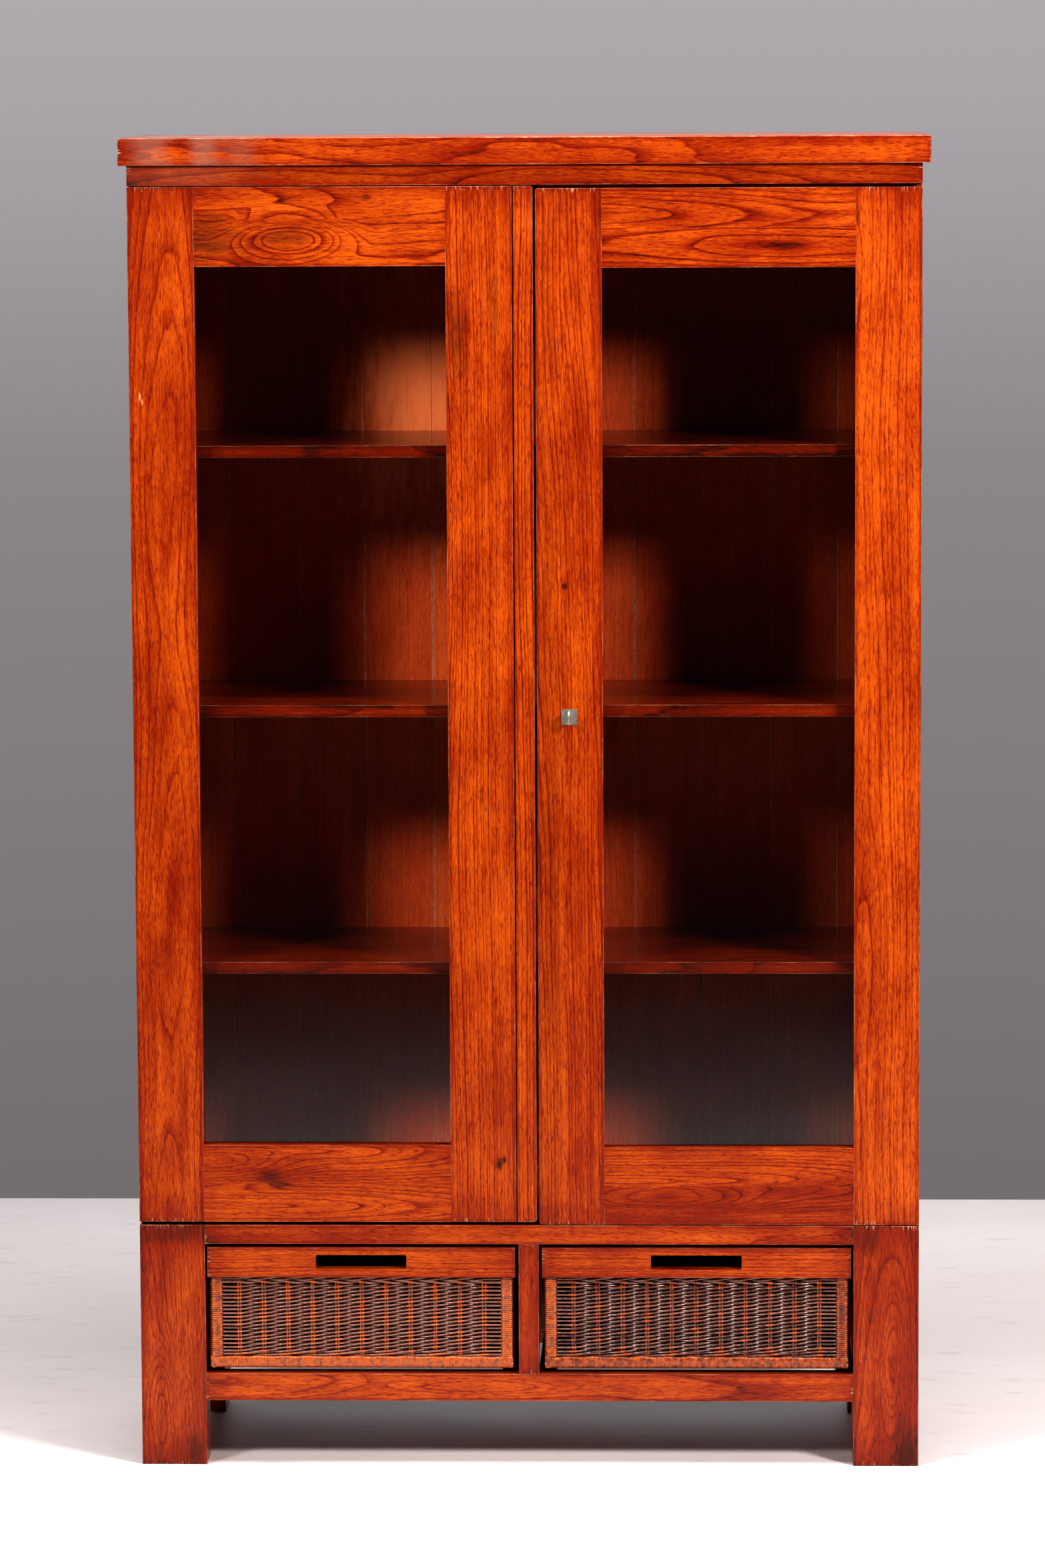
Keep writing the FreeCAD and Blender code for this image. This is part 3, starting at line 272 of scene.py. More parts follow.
    # How near the closest edge is: the middle one of the distances to the three pairs of faces.
    away = n.vector("SUBTRACT", given["Half Size"], n.vector("ABSOLUTE", given["Place"]))
    ends, sides, faces = n.parts(away)
    least = n.math("MINIMUM", ends, sides)
    most = n.math("MAXIMUM", ends, sides)
    edge = n.math("MAXIMUM", least, n.math("MINIMUM", most, faces))
    scuff = n.noise(n.stretched(spot, 90.0, 160.0, 160.0), detail=3.0, roughness=0.6)
    ragged = n.math("SUBTRACT", edge, n.math("MULTIPLY", scuff, RIM_RAGGED))
    rim = n.spread(ragged, -1.1 * MM, 0.1 * MM, 1.0, 0.0)
    fleck = n.spread(n.noise(n.stretched(spot, 55.0, 420.0, 420.0), detail=2.0), 0.56, 0.66)
    near_end = n.spread(ends, 1.5 * MM, 8 * MM, 1.0, 0.0)
    rubbed = n.noise(n.stretched(spot, 14.0, 30.0, 30.0), detail=3.0, roughness=0.65)
    rim = n.math("MULTIPLY", rim, n.math("MULTIPLY", given["Wear"], n.spread(rubbed, 0.44, 0.62, 0.2, 1.0)))
    ticks = n.math("MULTIPLY", n.math("MULTIPLY", near_end, fleck), n.spread(rubbed, 0.42, 0.5, 0.0, 0.8))
    rim = n.math("MAXIMUM", rim, ticks)
    # Darker within a few millimetres of the edges and towards the ends: partly stain built up there, partly
    # painted shade.
    shade = n.math("MULTIPLY", n.spread(edge, 1 * MM, 7 * MM, 1.0, 0.0), EDGE_SHADE)
    shade = n.math("ADD", shade, n.math("MULTIPLY", n.spread(ends, 0.0, 55 * MM, 1.0, 0.0), END_SHADE))
    light = n.math("SUBTRACT", light, shade)

    # The colour: the stain, with bare wood along the rim, and a painted highlight in pale beads along the
    # seams between the strips.
    stained = n.ramp(light, (0.0, (0, 0, 0, 1)), (1.0, (1, 1, 1, 1)))
    low = n.mix(n.spread(stained, 0.0, 0.5), given["Dark"], given["Middle"])
    colour = n.mix(n.spread(stained, 0.42, 1.0), low, given["Pale"])
    seam_highlight = n.math("SUBTRACT", n.math("MULTIPLY", given["Board"], 0.5), n.math("ABSOLUTE", local))
    highlight_beads = n.spread(n.noise(n.stretched(spot, 160.0, 20.0, 20.0), detail=2.0), 0.35, 0.6, 0.3, 1.0)
    highlight_beads = n.math("MULTIPLY", highlight_beads, given["Seam"])
    seam_highlight = n.math("MULTIPLY", n.spread(seam_highlight, 0.8 * MM, 1.8 * MM, 1.0, 0.0), highlight_beads)
    n.feed(result.inputs["Color"], n.mix(n.math("MAXIMUM", rim, seam_highlight), colour, given["Worn"]))

    # The finish: smoothest on the fibres, dull in the pores and where it is rubbed off.
    rough = n.math("ADD", n.spread(fibre, 0.3, 0.7, 0.19, 0.27), n.math("MULTIPLY", pore, 0.2))
    rough = n.math("ADD", rough, given["Dull"])
    n.feed(result.inputs["Roughness"], n.math("ADD", rough, n.math("MULTIPLY", rim, 0.2)))
    hollows = n.math("ADD", n.math("MULTIPLY", pore, -0.6), n.math("MULTIPLY", line, -0.35))
    hollows = n.math("ADD", hollows, n.math("MULTIPLY", fibre, 0.25))
    n.feed(result.inputs["Height"], n.math("SUBTRACT", hollows, n.math("MULTIPLY", rim, 0.3)))
    return group


WOOD_GROUP = wood_group()

OUTSIDE = {
    "Pale": screen(203, 101, 25),
    "Middle": screen(132, 37, 9),
    "Dark": screen(60, 18, 10),
    "Worn": screen(196, 150, 116),
}
INSIDE = {
    "Pale": screen(210, 100, 44),
    "Middle": screen(172, 62, 24),
    "Dark": screen(84, 30, 16),
    "Worn": screen(232, 204, 190),
}
COAT_ROUGHNESS = 0.08
PORE_DEPTH = 0.25 * MM
EYE_PUSH = 1.2
MARK_RAGGED = 2.2


def wood_material(name, tint, boards=1, seed=0.0, pith=30 * MM, side=50 * MM, lean=0.012, ring=4.8 * MM,
                  wear=0.4, light=0.68, dull=0.0, seam_highlight=0.0, lines=0.6, coat=0.1, crossing=None, split=None,
                  eye=None, marks=()):
    """Stained wood for one CAD node, with its grain along the longest side.

    boards is how many strips are glued side by side, or split is the share of the width that the lower of
    two takes. crossing is (axis, half width of a zone about the middle), and there the grain turns to run
    along that axis. eye is (along, across, half length, half width) of an oval that the grain flows round.
    Each of marks is the same for a stain or for painted light or shade, with its colour and strength after.
    The middle is the node's.
    """
    material, n, shader = new_material(name + "_wood")
    low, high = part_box(name)
    size = high - low
    centre = (low + high) / 2
    order = sorted(range(3), key=lambda axis: -size[axis])
    place = n.vector("SUBTRACT", n.place(), centre)
    spot = n.parts(place)
    turned = n.join(*(spot[axis] for axis in order))
    half_size = [size[axis] / 2 for axis in order]
    if crossing:
        axis, zone = crossing
        inside = n.math("LESS_THAN", n.math("ABSOLUTE", spot[axis]), zone)
        other = [axis] + [each for each in order if each != axis]
        turned = n.choose(inside, turned, n.join(*(spot[each] for each in other)))
        half_size = n.choose(inside, half_size, [size[each] / 2 for each in other])
    board, phase = size[order[1]] / boards, 0.5 if boards % 2 else 0.0
    if split:
        board = size[order[1]] * split
        phase = 0.5 / split - 1
    grain = n.add("ShaderNodeGroup", node_tree=WOOD_GROUP)
    values = {
        "Place": turned, "Half Size": half_size, "Board": board, "Phase": phase, "Seed": seed, "Pith": pith,
        "Side": side, "Lean": lean, "Ring": ring, "Wear": wear, "Lines": lines, "Light": light,
        "Dull": dull, "Seam": seam_highlight, **tint,
    }
    if eye:
        half_width = eye[-1]
        values["Swell"] = n.math("MULTIPLY", spot_share(n, turned, eye, 0.0), -EYE_PUSH * half_width)
    for key, value in values.items():
        n.feed(grain.inputs[key], value)
    colour = grain.outputs["Color"]
    for *where, stain_or_painted_light, strength in marks:
        share = n.math("MULTIPLY", spot_share(n, turned, where, MARK_RAGGED), strength)
        colour = n.mix(share, colour, stain_or_painted_light)
    n.feed(shader.inputs["Base Color"], colour)
    n.feed(shader.inputs["Roughness"], grain.outputs["Roughness"])
    n.feed(shader.inputs["Normal"], n.bump(grain.outputs["Height"], PORE_DEPTH, 0.45))
    shader.inputs["Coat Weight"].default_value = coat
    shader.inputs["Coat Roughness"].default_value = COAT_ROUGHNESS
    shader.inputs["Specular IOR Level"].default_value = 0.3
    return material


def spot_share(n, place, where, ragged):
    """1 in the middle of an oval spot on a board, down to 0 outside it, with a border torn by ragged."""
    along, across, half_length, half_width = where
    near = n.vector("DIVIDE", n.vector("SUBTRACT", place, (along, across, 0)), (half_length, half_width, 1))
    rough = n.noise(n.stretched(place, 24.0, 90.0, 90.0), detail=3.0, roughness=0.6)
    reach = n.vector("MULTIPLY", near, (1, 1, 0))
    reach = n.add("ShaderNodeVectorMath", {0: reach}, operation="LENGTH").outputs["Value"]
    reach = n.math("ADD", reach, n.math("MULTIPLY", n.math("SUBTRACT", rough, 0.5), ragged))
    return n.spread(reach, 0.15, 1.6, 1.0, 0.0)


def wear_material(node, material):
    """Puts a material on a carried-over CAD node."""
    for slot in frame["nodes"][node].material_slots:
        slot.material = material


def strips_across(node, strip):
    """How many strips of one width make up the width of a CAD node along x."""
    low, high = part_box(node)
    return (high.x - low.x) / strip


SLOT_OF = {part["node"]: part["material_slot"] for part in frame["record"]["subparts"]}

# What sets single boards apart: how many strips they are glued from, how the saw met the rings, and stains.
# On the back boards and the shelves some of these looks are painted light and shade.
# The numbers in marks and eye are as wood_material takes them: along, across, half length, half width.
PLAIN_SAWN = dict(side=0.0, pith=0.012, lean=0.075)
# A dark smoky stain on the doors, rails and legs; on the back boards the same colour is a painted shadow.
SMOKE_AND_SHADE = screen(44, 16, 10)
HAZE = screen(150, 112, 98)
KNOT = screen(58, 18, 10)
NICK = screen(206, 160, 126)
# A painted pool of light, laid on the back boards.
PAINTED_LIGHT_POOL = screen(240, 140, 88)
BOARD_LOOKS = {
    "top_slab": dict(boards=4, light=0.74, side=0.06, wear=0.9, lines=0.45, marks=(
        (-0.515, 0.0, 0.03, 0.5, HAZE, 0.45), (-0.44, 0.0, 0.022, 0.5, HAZE, 0.5),
        (-0.39, 0.0, 0.02, 0.5, HAZE, 0.3),
    )),
    "frieze_rail": dict(light=0.65, side=0.03, pith=0.04, lines=0.5, marks=(
        (-0.48, 0.0, 0.09, 0.02, HAZE, 0.2),
    )),
    "left_hinge_stile": dict(side=0.02, pith=0.05, lines=0.35, marks=(
        (0.438, -0.031, 0.005, 0.0016, NICK, 0.9), (0.43, -0.028, 0.004, 0.0012, NICK, 0.8),
    )),
    "right_hinge_stile": dict(side=0.06, pith=0.045, light=0.81, lines=0.4),
    "left_meeting_stile": dict(light=0.64, side=0.07, pith=0.02, lines=0.55, marks=(
        (0.52, -0.03, 0.07, 0.012, SMOKE_AND_SHADE, 0.45), (0.56, 0.02, 0.05, 0.01, SMOKE_AND_SHADE, 0.3),
        (-0.645, 0.022, 0.009, 0.005, SMOKE_AND_SHADE, 0.9), (-0.638, 0.03, 0.004, 0.003, SMOKE_AND_SHADE, 0.9),
    )),
    "right_meeting_stile": dict(split=0.42, side=0.03, pith=0.03, lean=0.03, lines=0.45, marks=(
        (0.176, -0.007, 0.005, 0.004, KNOT, 0.9), (-0.15, -0.03, 0.7, 0.02, SMOKE_AND_SHADE, 0.15),
    )),
    "left_top_rail": dict(split=0.6, side=0.0, pith=0.05, lean=0.02, ring=6.2 * MM, lines=0.6, light=0.74,
                          eye=(-0.04, -0.012, 0.075, 0.03), marks=(
        (-0.17, -0.018, 0.04, 0.03, SMOKE_AND_SHADE, 0.5), (-0.13, -0.018, 0.04, 0.03, SMOKE_AND_SHADE, 0.2),
        (-0.045, -0.014, 0.032, 0.014, KNOT, 0.4), (-0.052, 0.036, 0.006, 0.004, SMOKE_AND_SHADE, 0.7),
        (0.065, 0.04, 0.007, 0.004, SMOKE_AND_SHADE, 0.6),
    )),
    "right_top_rail": dict(boards=2, side=0.02, light=0.77),
    "left_bottom_rail": dict(PLAIN_SAWN, boards=2, lines=0.45, eye=(-0.17, 0.02, 0.11, 0.026), marks=(
        (-0.085, 0.01, 0.022, 0.008, SMOKE_AND_SHADE, 0.6), (-0.07, -0.002, 0.016, 0.006, SMOKE_AND_SHADE, 0.6),
    )),
    "base_bottom_rail": dict(lines=0.38, side=0.01, pith=0.05, eye=(-0.06, 0.0, 0.12, 0.014)),
    "left_front_leg": dict(light=0.52, lines=0.38, side=0.01, pith=0.05,
                           eye=(-0.094, -0.011, 0.09, 0.02), marks=(
        (-0.15, 0.03, 0.03, 0.012, SMOKE_AND_SHADE, 0.6), (0.16, 0.0, 0.012, 0.06, SMOKE_AND_SHADE, 0.4),
    )),
    "right_front_leg": dict(lines=0.34, side=0.01, pith=0.05,
                            eye=(-0.02, 0.012, 0.1, 0.02), marks=(
        (-0.15, 0.03, 0.04, 0.02, SMOKE_AND_SHADE, 0.65), (0.15, -0.03, 0.02, 0.02, SMOKE_AND_SHADE, 0.4),
    )),
    "right_bottom_rail": dict(PLAIN_SAWN, boards=2, light=0.6, lines=0.45, eye=(-0.1, -0.025, 0.13, 0.018)),
    "left_drawer_rail": dict(light=0.8, lines=0.4),
    "right_drawer_rail": dict(light=0.78, lines=0.4),
    # The back boards carry pale painted highlights along the seams between their strips.
    "back_boards": dict(boards=strips_across("back_boards", BACK_BOARD), dull=0.22, coat=0.0, seam_highlight=0.45,
                        lines=0.2, light=0.72, marks=(
        # The pale patch at the upper left of the back boards is a painted pool of light.
        # The thin dark streak down the middle of the back boards is a painted shadow behind the gap between
        # the doors.
        (0.43, -0.17, 0.19, 0.1, PAINTED_LIGHT_POOL, 0.7), (0.0, 0.003, 2.0, 0.006, SMOKE_AND_SHADE, 0.95),
    )),
    "left_side_panel": dict(boards=3),
    "right_side_panel": dict(boards=3),
    "case_top": dict(boards=4),
    "case_bottom": dict(boards=4),
    # The shelves take a darker tone than the other boards: painted shade inside the case.
    "lower_shelf": dict(boards=3, light=0.48),
    "middle_shelf": dict(boards=3, light=0.45),
    "upper_shelf": dict(boards=3, light=0.5),
}


PANEL_TONGUE = 8 * MM
FIRST_SEED = 3.7
SEED_STEP = 1.31


def side_crossing(side):
    """The zone of a case side, about its middle, where its rails lie between its uprights."""
    panel_low, panel_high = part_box(f"{side}_side_panel")
    return 1, (panel_high.y - panel_low.y) / 2 - PANEL_TONGUE


def dress_wood():
    """Every wooden node gets its own grain."""
    for number, (node, slot) in enumerate(sorted(SLOT_OF.items())):
        if slot not in ("stained_wood", "interior_wood"):
            continue
        look = dict(seed=FIRST_SEED + number * SEED_STEP)
        if node.endswith("side_frame"):
            look["crossing"] = side_crossing(node.split("_")[0])
        if node.endswith("leg"):
            look.update(PLAIN_SAWN)
        look.update(BOARD_LOOKS.get(node, {}))
        if slot == "interior_wood" and node != "back_boards":
            look.update(coat=0.3, lines=0.4)
        tint = INSIDE if node == "back_boards" else OUTSIDE
        wear_material(node, wood_material(node, tint, **look))


# ---------------------------------------------------------------- glass and metal


GLASS_FACING_SHARE = 0.045
GLASS_SLANT_SHARE = 0.92
GLASS_TINT = (0.955, 0.97, 0.96, 1)


def glass_material():
    """Window glass: clear straight on, a mirror at a slant, with faint wiping smears that dull it."""
    material, n, shader = new_material("window_glass")
    material.node_tree.nodes.remove(shader)
    facing = n.add("ShaderNodeLayerWeight", {"Blend": 0.5}).outputs["Facing"]
    slant = n.math("MULTIPLY", n.math("POWER", facing, 5.0), GLASS_SLANT_SHARE)
    smear = n.noise(n.stretched(n.place(), 4.0, 4.0, 9.0), detail=4.0, roughness=0.6)
    film = n.spread(smear, 0.5, 0.75, 0.0, 0.006)
    share = n.math("ADD", n.math("ADD", slant, GLASS_FACING_SHARE), film)
    clear = n.add("ShaderNodeBsdfTransparent", {"Color": GLASS_TINT}).outputs[0]
    dull = n.spread(smear, 0.4, 0.8, 0.01, 0.09)
    mirror = n.add("ShaderNodeBsdfAnisotropic", {"Color": (1, 1, 1, 1), "Roughness": dull}).outputs[0]
    pane = n.add("ShaderNodeMixShader", {0: share, 1: clear, 2: mirror}).outputs[0]
    n.feed(material.node_tree.nodes["Material Output"].inputs["Surface"], pane)
    return material


def metal_material(name, bright, dull, rough_low, rough_high, grain_scale, scratch):
    """Metal with tarnish in patches and fine wipe marks.

    bright and dull are its two tones, grain_scale draws the marks out along one direction, and scratch is
    how strong they are.
    """
    material, n, shader = new_material(name)
    place = n.place()
    patch = n.noise(place, 160.0, detail=4.0, roughness=0.6)
    mark = n.noise(n.stretched(place, *grain_scale), detail=2.0)
    n.feed(shader.inputs["Base Color"], n.mix(n.spread(patch, 0.35, 0.7), bright, dull))
    rough = n.math("ADD", n.spread(patch, 0.3, 0.75, rough_low, rough_high), n.math("MULTIPLY", mark, 0.08))
    n.feed(shader.inputs["Roughness"], rough)
    n.feed(shader.inputs["Normal"], n.bump(mark, 0.05 * MM, scratch))
    shader.inputs["Metallic"].default_value = 1.0
    return material


def dress_hardware():
    """Glass and metal nodes by their slot."""
    looks = {
        "clear_glass": glass_material(),
        "nickel": metal_material("worn_nickel", screen(214, 210, 200), screen(132, 126, 116), 0.32, 0.55,
                                 (900, 900, 120), 0.25),
        "brass": metal_material("dull_brass", screen(212, 178, 108), screen(134, 98, 50), 0.24, 0.5,
                                (700, 700, 700), 0.2),
        "steel": metal_material("plain_steel", screen(190, 190, 190), screen(120, 120, 122), 0.28, 0.5,
                                (300, 1500, 1500), 0.3),
    }
    for node, slot in SLOT_OF.items():
        if slot in looks:
            wear_material(node, looks[slot])


# ---------------------------------------------------------------- woven baskets


# A basket's driving sizes. STRAND is a radius, WALL_DEPTH how far a strand swings out over a stake,
# CROSSING how far it rises where two strands cross, and BORDER the height of the plait along the top.
STRAND = 1.45 * MM
STAKE_PITCH = 34.7 * MM
STAKE_MARGIN = 41.5 * MM
STAKE_GAP = 1.8 * MM
ROW_PITCH = 5.2 * MM
POST = 19 * MM
RAIL_HEIGHT = 18 * MM
RAIL_DEPTH = 10 * MM
WALL_DEPTH = 2.6 * MM
CROSSING = 1.75 * MM
BORDER = 11 * MM
WRAP_PITCH = 2.8 * MM
RAIL_WRAP_PITCH = 0.82 * WRAP_PITCH
RIM_STRAND = 1.8 * MM
RIM_DROP = 3.2 * MM
PLAIT_STRAND = 1.7 * MM
PLAIT_DROP = 8 * MM
PLAIT_LIFT = 1.8 * MM
FIRST_ROW_RISE = 4.6 * MM
FOOT_STRAND = 1.5 * MM
FOOT_RISE = 2.2 * MM
FOOT_LIFT = 1.9 * MM
FLOOR_LIFT = 6 * MM
LACQUER_ROUGHNESS = 0.16


def rattan_material():
    """Dark lacquered rattan, rubbed to orange where the attribute worn is high. tone sets strands apart."""
    material, n, shader = new_material("lacquered_rattan")
    worn = n.add("ShaderNodeAttribute", attribute_name="worn").outputs["Fac"]
    tone = n.add("ShaderNodeAttribute", attribute_name="tone").outputs["Fac"]
    place = n.place()
    patch = n.noise(place, 190.0, detail=3.0, roughness=0.6)
    fibre = n.noise(place, 1100.0, detail=2.0)
    dark = n.mix(n.spread(n.math("ADD", patch, n.math("MULTIPLY", tone, 0.3)), 0.35, 0.95),
                 screen(70, 38, 32), screen(146, 96, 80))
    orange = n.mix(n.spread(n.math("ADD", patch, n.math("MULTIPLY", tone, 0.25)), 0.45, 0.9),
                   screen(150, 62, 22), screen(210, 108, 42))
    uneven = n.math("MULTIPLY", n.math("SUBTRACT", patch, 0.5), 0.7)
    rubbed = n.spread(n.math("ADD", worn, uneven), 0.25, 0.8)
    colour = n.mix(rubbed, dark, orange)
    colour = n.mix(n.spread(fibre, 0.3, 0.7, 0.3, 0.0), colour, screen(34, 18, 12))
    n.feed(shader.inputs["Base Color"], colour)
    n.feed(shader.inputs["Roughness"], n.spread(patch, 0.3, 0.7, 0.2, 0.38))
    n.feed(shader.inputs["Normal"], n.bump(fibre, 0.1 * MM, 0.4))
    shader.inputs["Coat Weight"].default_value = 1.0
    shader.inputs["Coat Roughness"].default_value = LACQUER_ROUGHNESS
    return material


RATTAN = rattan_material()


def strand_piece(name, strands, body, sides=6, painted_sheen=0.0):
    """One mesh of round strands that rides on a body.

    Each strand is (points, radius, the way its ring starts, worn, tone), and worn may vary from point to
    point. painted_sheen is added to every strand's tone, a painted sheen that makes the piece paler.
    """
    angles = np.linspace(0, 2 * math.pi, sides, endpoint=False)
    corners, faces, worn_values, tone_values = [], [], [], []
    first = 0
    for points, radius, reference, worn, tone in strands:
        points = np.asarray(points, float)
        total = len(points)
        ahead = np.gradient(points, axis=0)
        ahead /= np.linalg.norm(ahead, axis=1, keepdims=True)
        aside = np.cross(ahead, reference)
        aside /= np.linalg.norm(aside, axis=1, keepdims=True)
        upward = np.cross(aside, ahead)
        ring = np.cos(angles)[None, :, None] * aside[:, None, :]
        ring = ring + np.sin(angles)[None, :, None] * upward[:, None, :]
        width = np.broadcast_to(np.asarray(radius, float), (total,))[:, None, None]
        corners.append((points[:, None, :] + ring * width).reshape(-1, 3))
        index = first + np.arange(total * sides).reshape(total, sides)
        beside = np.roll(index, -1, axis=1)
        quads = np.stack([index[:-1], beside[:-1], beside[1:], index[1:]], axis=-1).reshape(-1, 4)
        faces.extend(quads.tolist())
        faces.append(index[0][::-1].tolist())
        faces.append(index[-1].tolist())
        worn_values.append(np.repeat(np.broadcast_to(np.asarray(worn, float), (total,)), sides))
        tone_values.append(np.full(total * sides, tone + painted_sheen))
        first += total * sides
    mesh = bpy.data.meshes.new(name)
    mesh.from_pydata(np.concatenate(corners).tolist(), [], faces)
    for attribute, values in (("worn", worn_values), ("tone", tone_values)):
        mesh.attributes.new(attribute, "FLOAT", "POINT").data.foreach_set("value", np.concatenate(values))
    mesh.shade_smooth()
    mesh.materials.append(RATTAN)
    piece = bpy.data.objects.new(name, mesh)
    bpy.context.scene.collection.objects.link(piece)
    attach(piece, body)
    return piece


class Panel:
    """A flat woven wall.

    start is its lower corner on the middle plane, along and up are its directions, and out points to its
    outer side.
    """

    def __init__(self, start, along, up, out, length, height, seed):
        self.start, self.along, self.up, self.out = (np.array(v, float) for v in (start, along, up, out))
        self.length, self.height = length, height
        self.luck = random.Random(seed)
        gaps = max(2, round((length - 2 * STAKE_MARGIN) / STAKE_PITCH))
        self.pitch = (length - 2 * STAKE_MARGIN) / gaps
        self.stakes = [STAKE_MARGIN + index * self.pitch for index in range(gaps + 1)]

    def at(self, along, up, out):
        """Points in the row frame from arrays of distances in the panel's own directions."""
        along, up, out = np.broadcast_arrays(along, up, out)
        return (self.start + along[:, None] * self.along + up[:, None] * self.up + out[:, None] * self.out)

    def stake_strands(self, low, high):
        """Pairs of upright stakes, rubbed pale where they show."""
        strands = []
        for stake in self.stakes:
            for side in (-1, 1):
                drift = np.linspace(0, self.luck.uniform(-0.6, 0.6) * MM, 8)
                place = self.at(stake + side * STAKE_GAP + drift, np.linspace(low, high, 8), 0.0)
                strands.append((place, STRAND, self.out, self.luck.uniform(0.55, 0.9), self.luck.random()))
        return strands

    def twined_row(self, height, radius=STRAND, reach=1, twist=1, flat=1.7, lift=CROSSING, rub=1.0,
                   bare=0.0):
        """Two strands that wind about each other, one in front of each stake and one behind.

        reach is how many gaps a half turn takes, twist which way they wind, flat how straight they run over
        the stakes, and lift how far they rise where they cross. rub is how worn they are in front of the
        stakes, and bare what is added to that.
        """
        first, last = self.stakes[0], self.stakes[-1]
        end = POST - 2 * MM
        steps = int((self.length - 2 * end) / (self.pitch / 9))
        along = np.linspace(end, self.length - end, steps)
        angle = math.pi * (np.clip(along, first, last) - first) / (self.pitch * reach)
        waver = height + 0.35 * MM * np.sin(along * self.luck.uniform(9, 16) + self.luck.uniform(0, 6))
        strands = []
        for half in (0, math.pi):
            swing = np.tanh(flat * np.cos(angle + half)) / math.tanh(flat)
            turn = np.sin(angle + half)
            rise = twist * lift * turn * np.abs(turn) ** (flat - 1)
            out = (WALL_DEPTH + 0.25 * MM * self.luck.uniform(-1, 1)) * swing
            rubbed = bare + rub * np.clip((swing - 0.9) / 0.08, 0, 1) * self.luck.uniform(0.1, 0.9)
            between = (along > first - self.pitch / 4) & (along < last + self.pitch / 4)
            rubbed = rubbed * (np.abs(np.cos(angle)) > 0.85) * between
            place = self.at(along, waver + rise, out)
            thickness = radius * self.luck.uniform(0.92, 1.08)
            strands.append((place, thickness, self.out, rubbed, self.luck.random()))
        return strands

    def wall_strands(self):
        """Stakes, plain rows, a plait of two opposed rows at the top, and a long-stepped row at the foot."""
        low = RAIL_HEIGHT - 2 * MM
        strands = self.stake_strands(low, self.height - 1 * MM)
        foot = RAIL_HEIGHT + FOOT_RISE
        strands += self.twined_row(foot, FOOT_STRAND, reach=2, flat=1.0, lift=FOOT_LIFT, rub=0.5, bare=0.5)
        room = self.height - BORDER - foot - 3 * MM
        rows = int(room / ROW_PITCH)
        pitch = room / rows
        for row in range(rows):
            strands += self.twined_row(foot + FIRST_ROW_RISE + row * pitch)
        under, rim = self.height - PLAIT_DROP, self.height - RIM_DROP
        plait = dict(flat=1.0, lift=PLAIT_LIFT)
        strands += self.twined_row(under, PLAIT_STRAND, twist=-1, rub=0.5, bare=0.2, **plait)
        strands += self.twined_row(rim, RIM_STRAND, twist=1, rub=0.2, **plait)
        return strands

    def rail_strands(self):
        """The foot rail: a bar wound closely with one strand, which the floor has rubbed pale."""
        turns = int(self.length / RAIL_WRAP_PITCH)
        per_turn = 14
        angle = np.linspace(0, 2 * math.pi * turns, turns * per_turn)
        along = np.linspace(1.5 * MM, self.length - 1.5 * MM, len(angle))
        half_up, half_out = RAIL_HEIGHT / 2 - STRAND, RAIL_DEPTH / 2 - STRAND
        square = 0.55
        up = half_up * np.sign(np.sin(angle)) * np.abs(np.sin(angle)) ** square
        out = half_out * np.sign(np.cos(angle)) * np.abs(np.cos(angle)) ** square
        scallop = 0.5 * MM * np.cos(2 * math.pi * along / self.pitch) * (up > 0)
        rough = np.interp(along, np.linspace(0, self.length, 160), [self.luck.random() for _ in range(160)])
        worn = 0.6 + 0.35 * (rough - 0.4) + 0.55 * (up < -0.8 * half_up) * rough
        place = self.at(along, RAIL_HEIGHT / 2 + up + scallop, out)
        return [(place, STRAND * 0.9, self.along, worn, 0.5)]


def wound_post(centre, low, high, seed):
    """A square corner post wound closely from foot to top."""
    luck = random.Random(seed)
    turns = int((high - low) / WRAP_PITCH)
    per_turn = 20
    angle = np.linspace(0, 2 * math.pi * turns, turns * per_turn)
    height = np.linspace(low + STRAND, high - STRAND, len(angle))
    square = 0.5
    half = POST / 2 - STRAND * 0.9
    x = half * np.sign(np.cos(angle)) * np.abs(np.cos(angle)) ** square
    y = half * np.sign(np.sin(angle)) * np.abs(np.sin(angle)) ** square
    rough = np.interp(height, np.linspace(low, high, 60), [luck.random() for _ in range(60)])
    place = np.stack([centre[0] + x, centre[1] + y, height], axis=1)
    return [(place, STRAND, (0, 0, 1), 0.48 + 0.4 * rough, luck.random())]


def post_core(name, centre, low, high, body):
    """The stick inside a wound post, which closes the gaps between its turns."""
    half = POST / 2 - 1.8 * STRAND
    strands = [(np.array([[*centre, low + STRAND], [*centre, high - STRAND]]), half, (1, 0, 0), 0.1, 0.2)]
    return strand_piece(name, strands, body, sides=12)


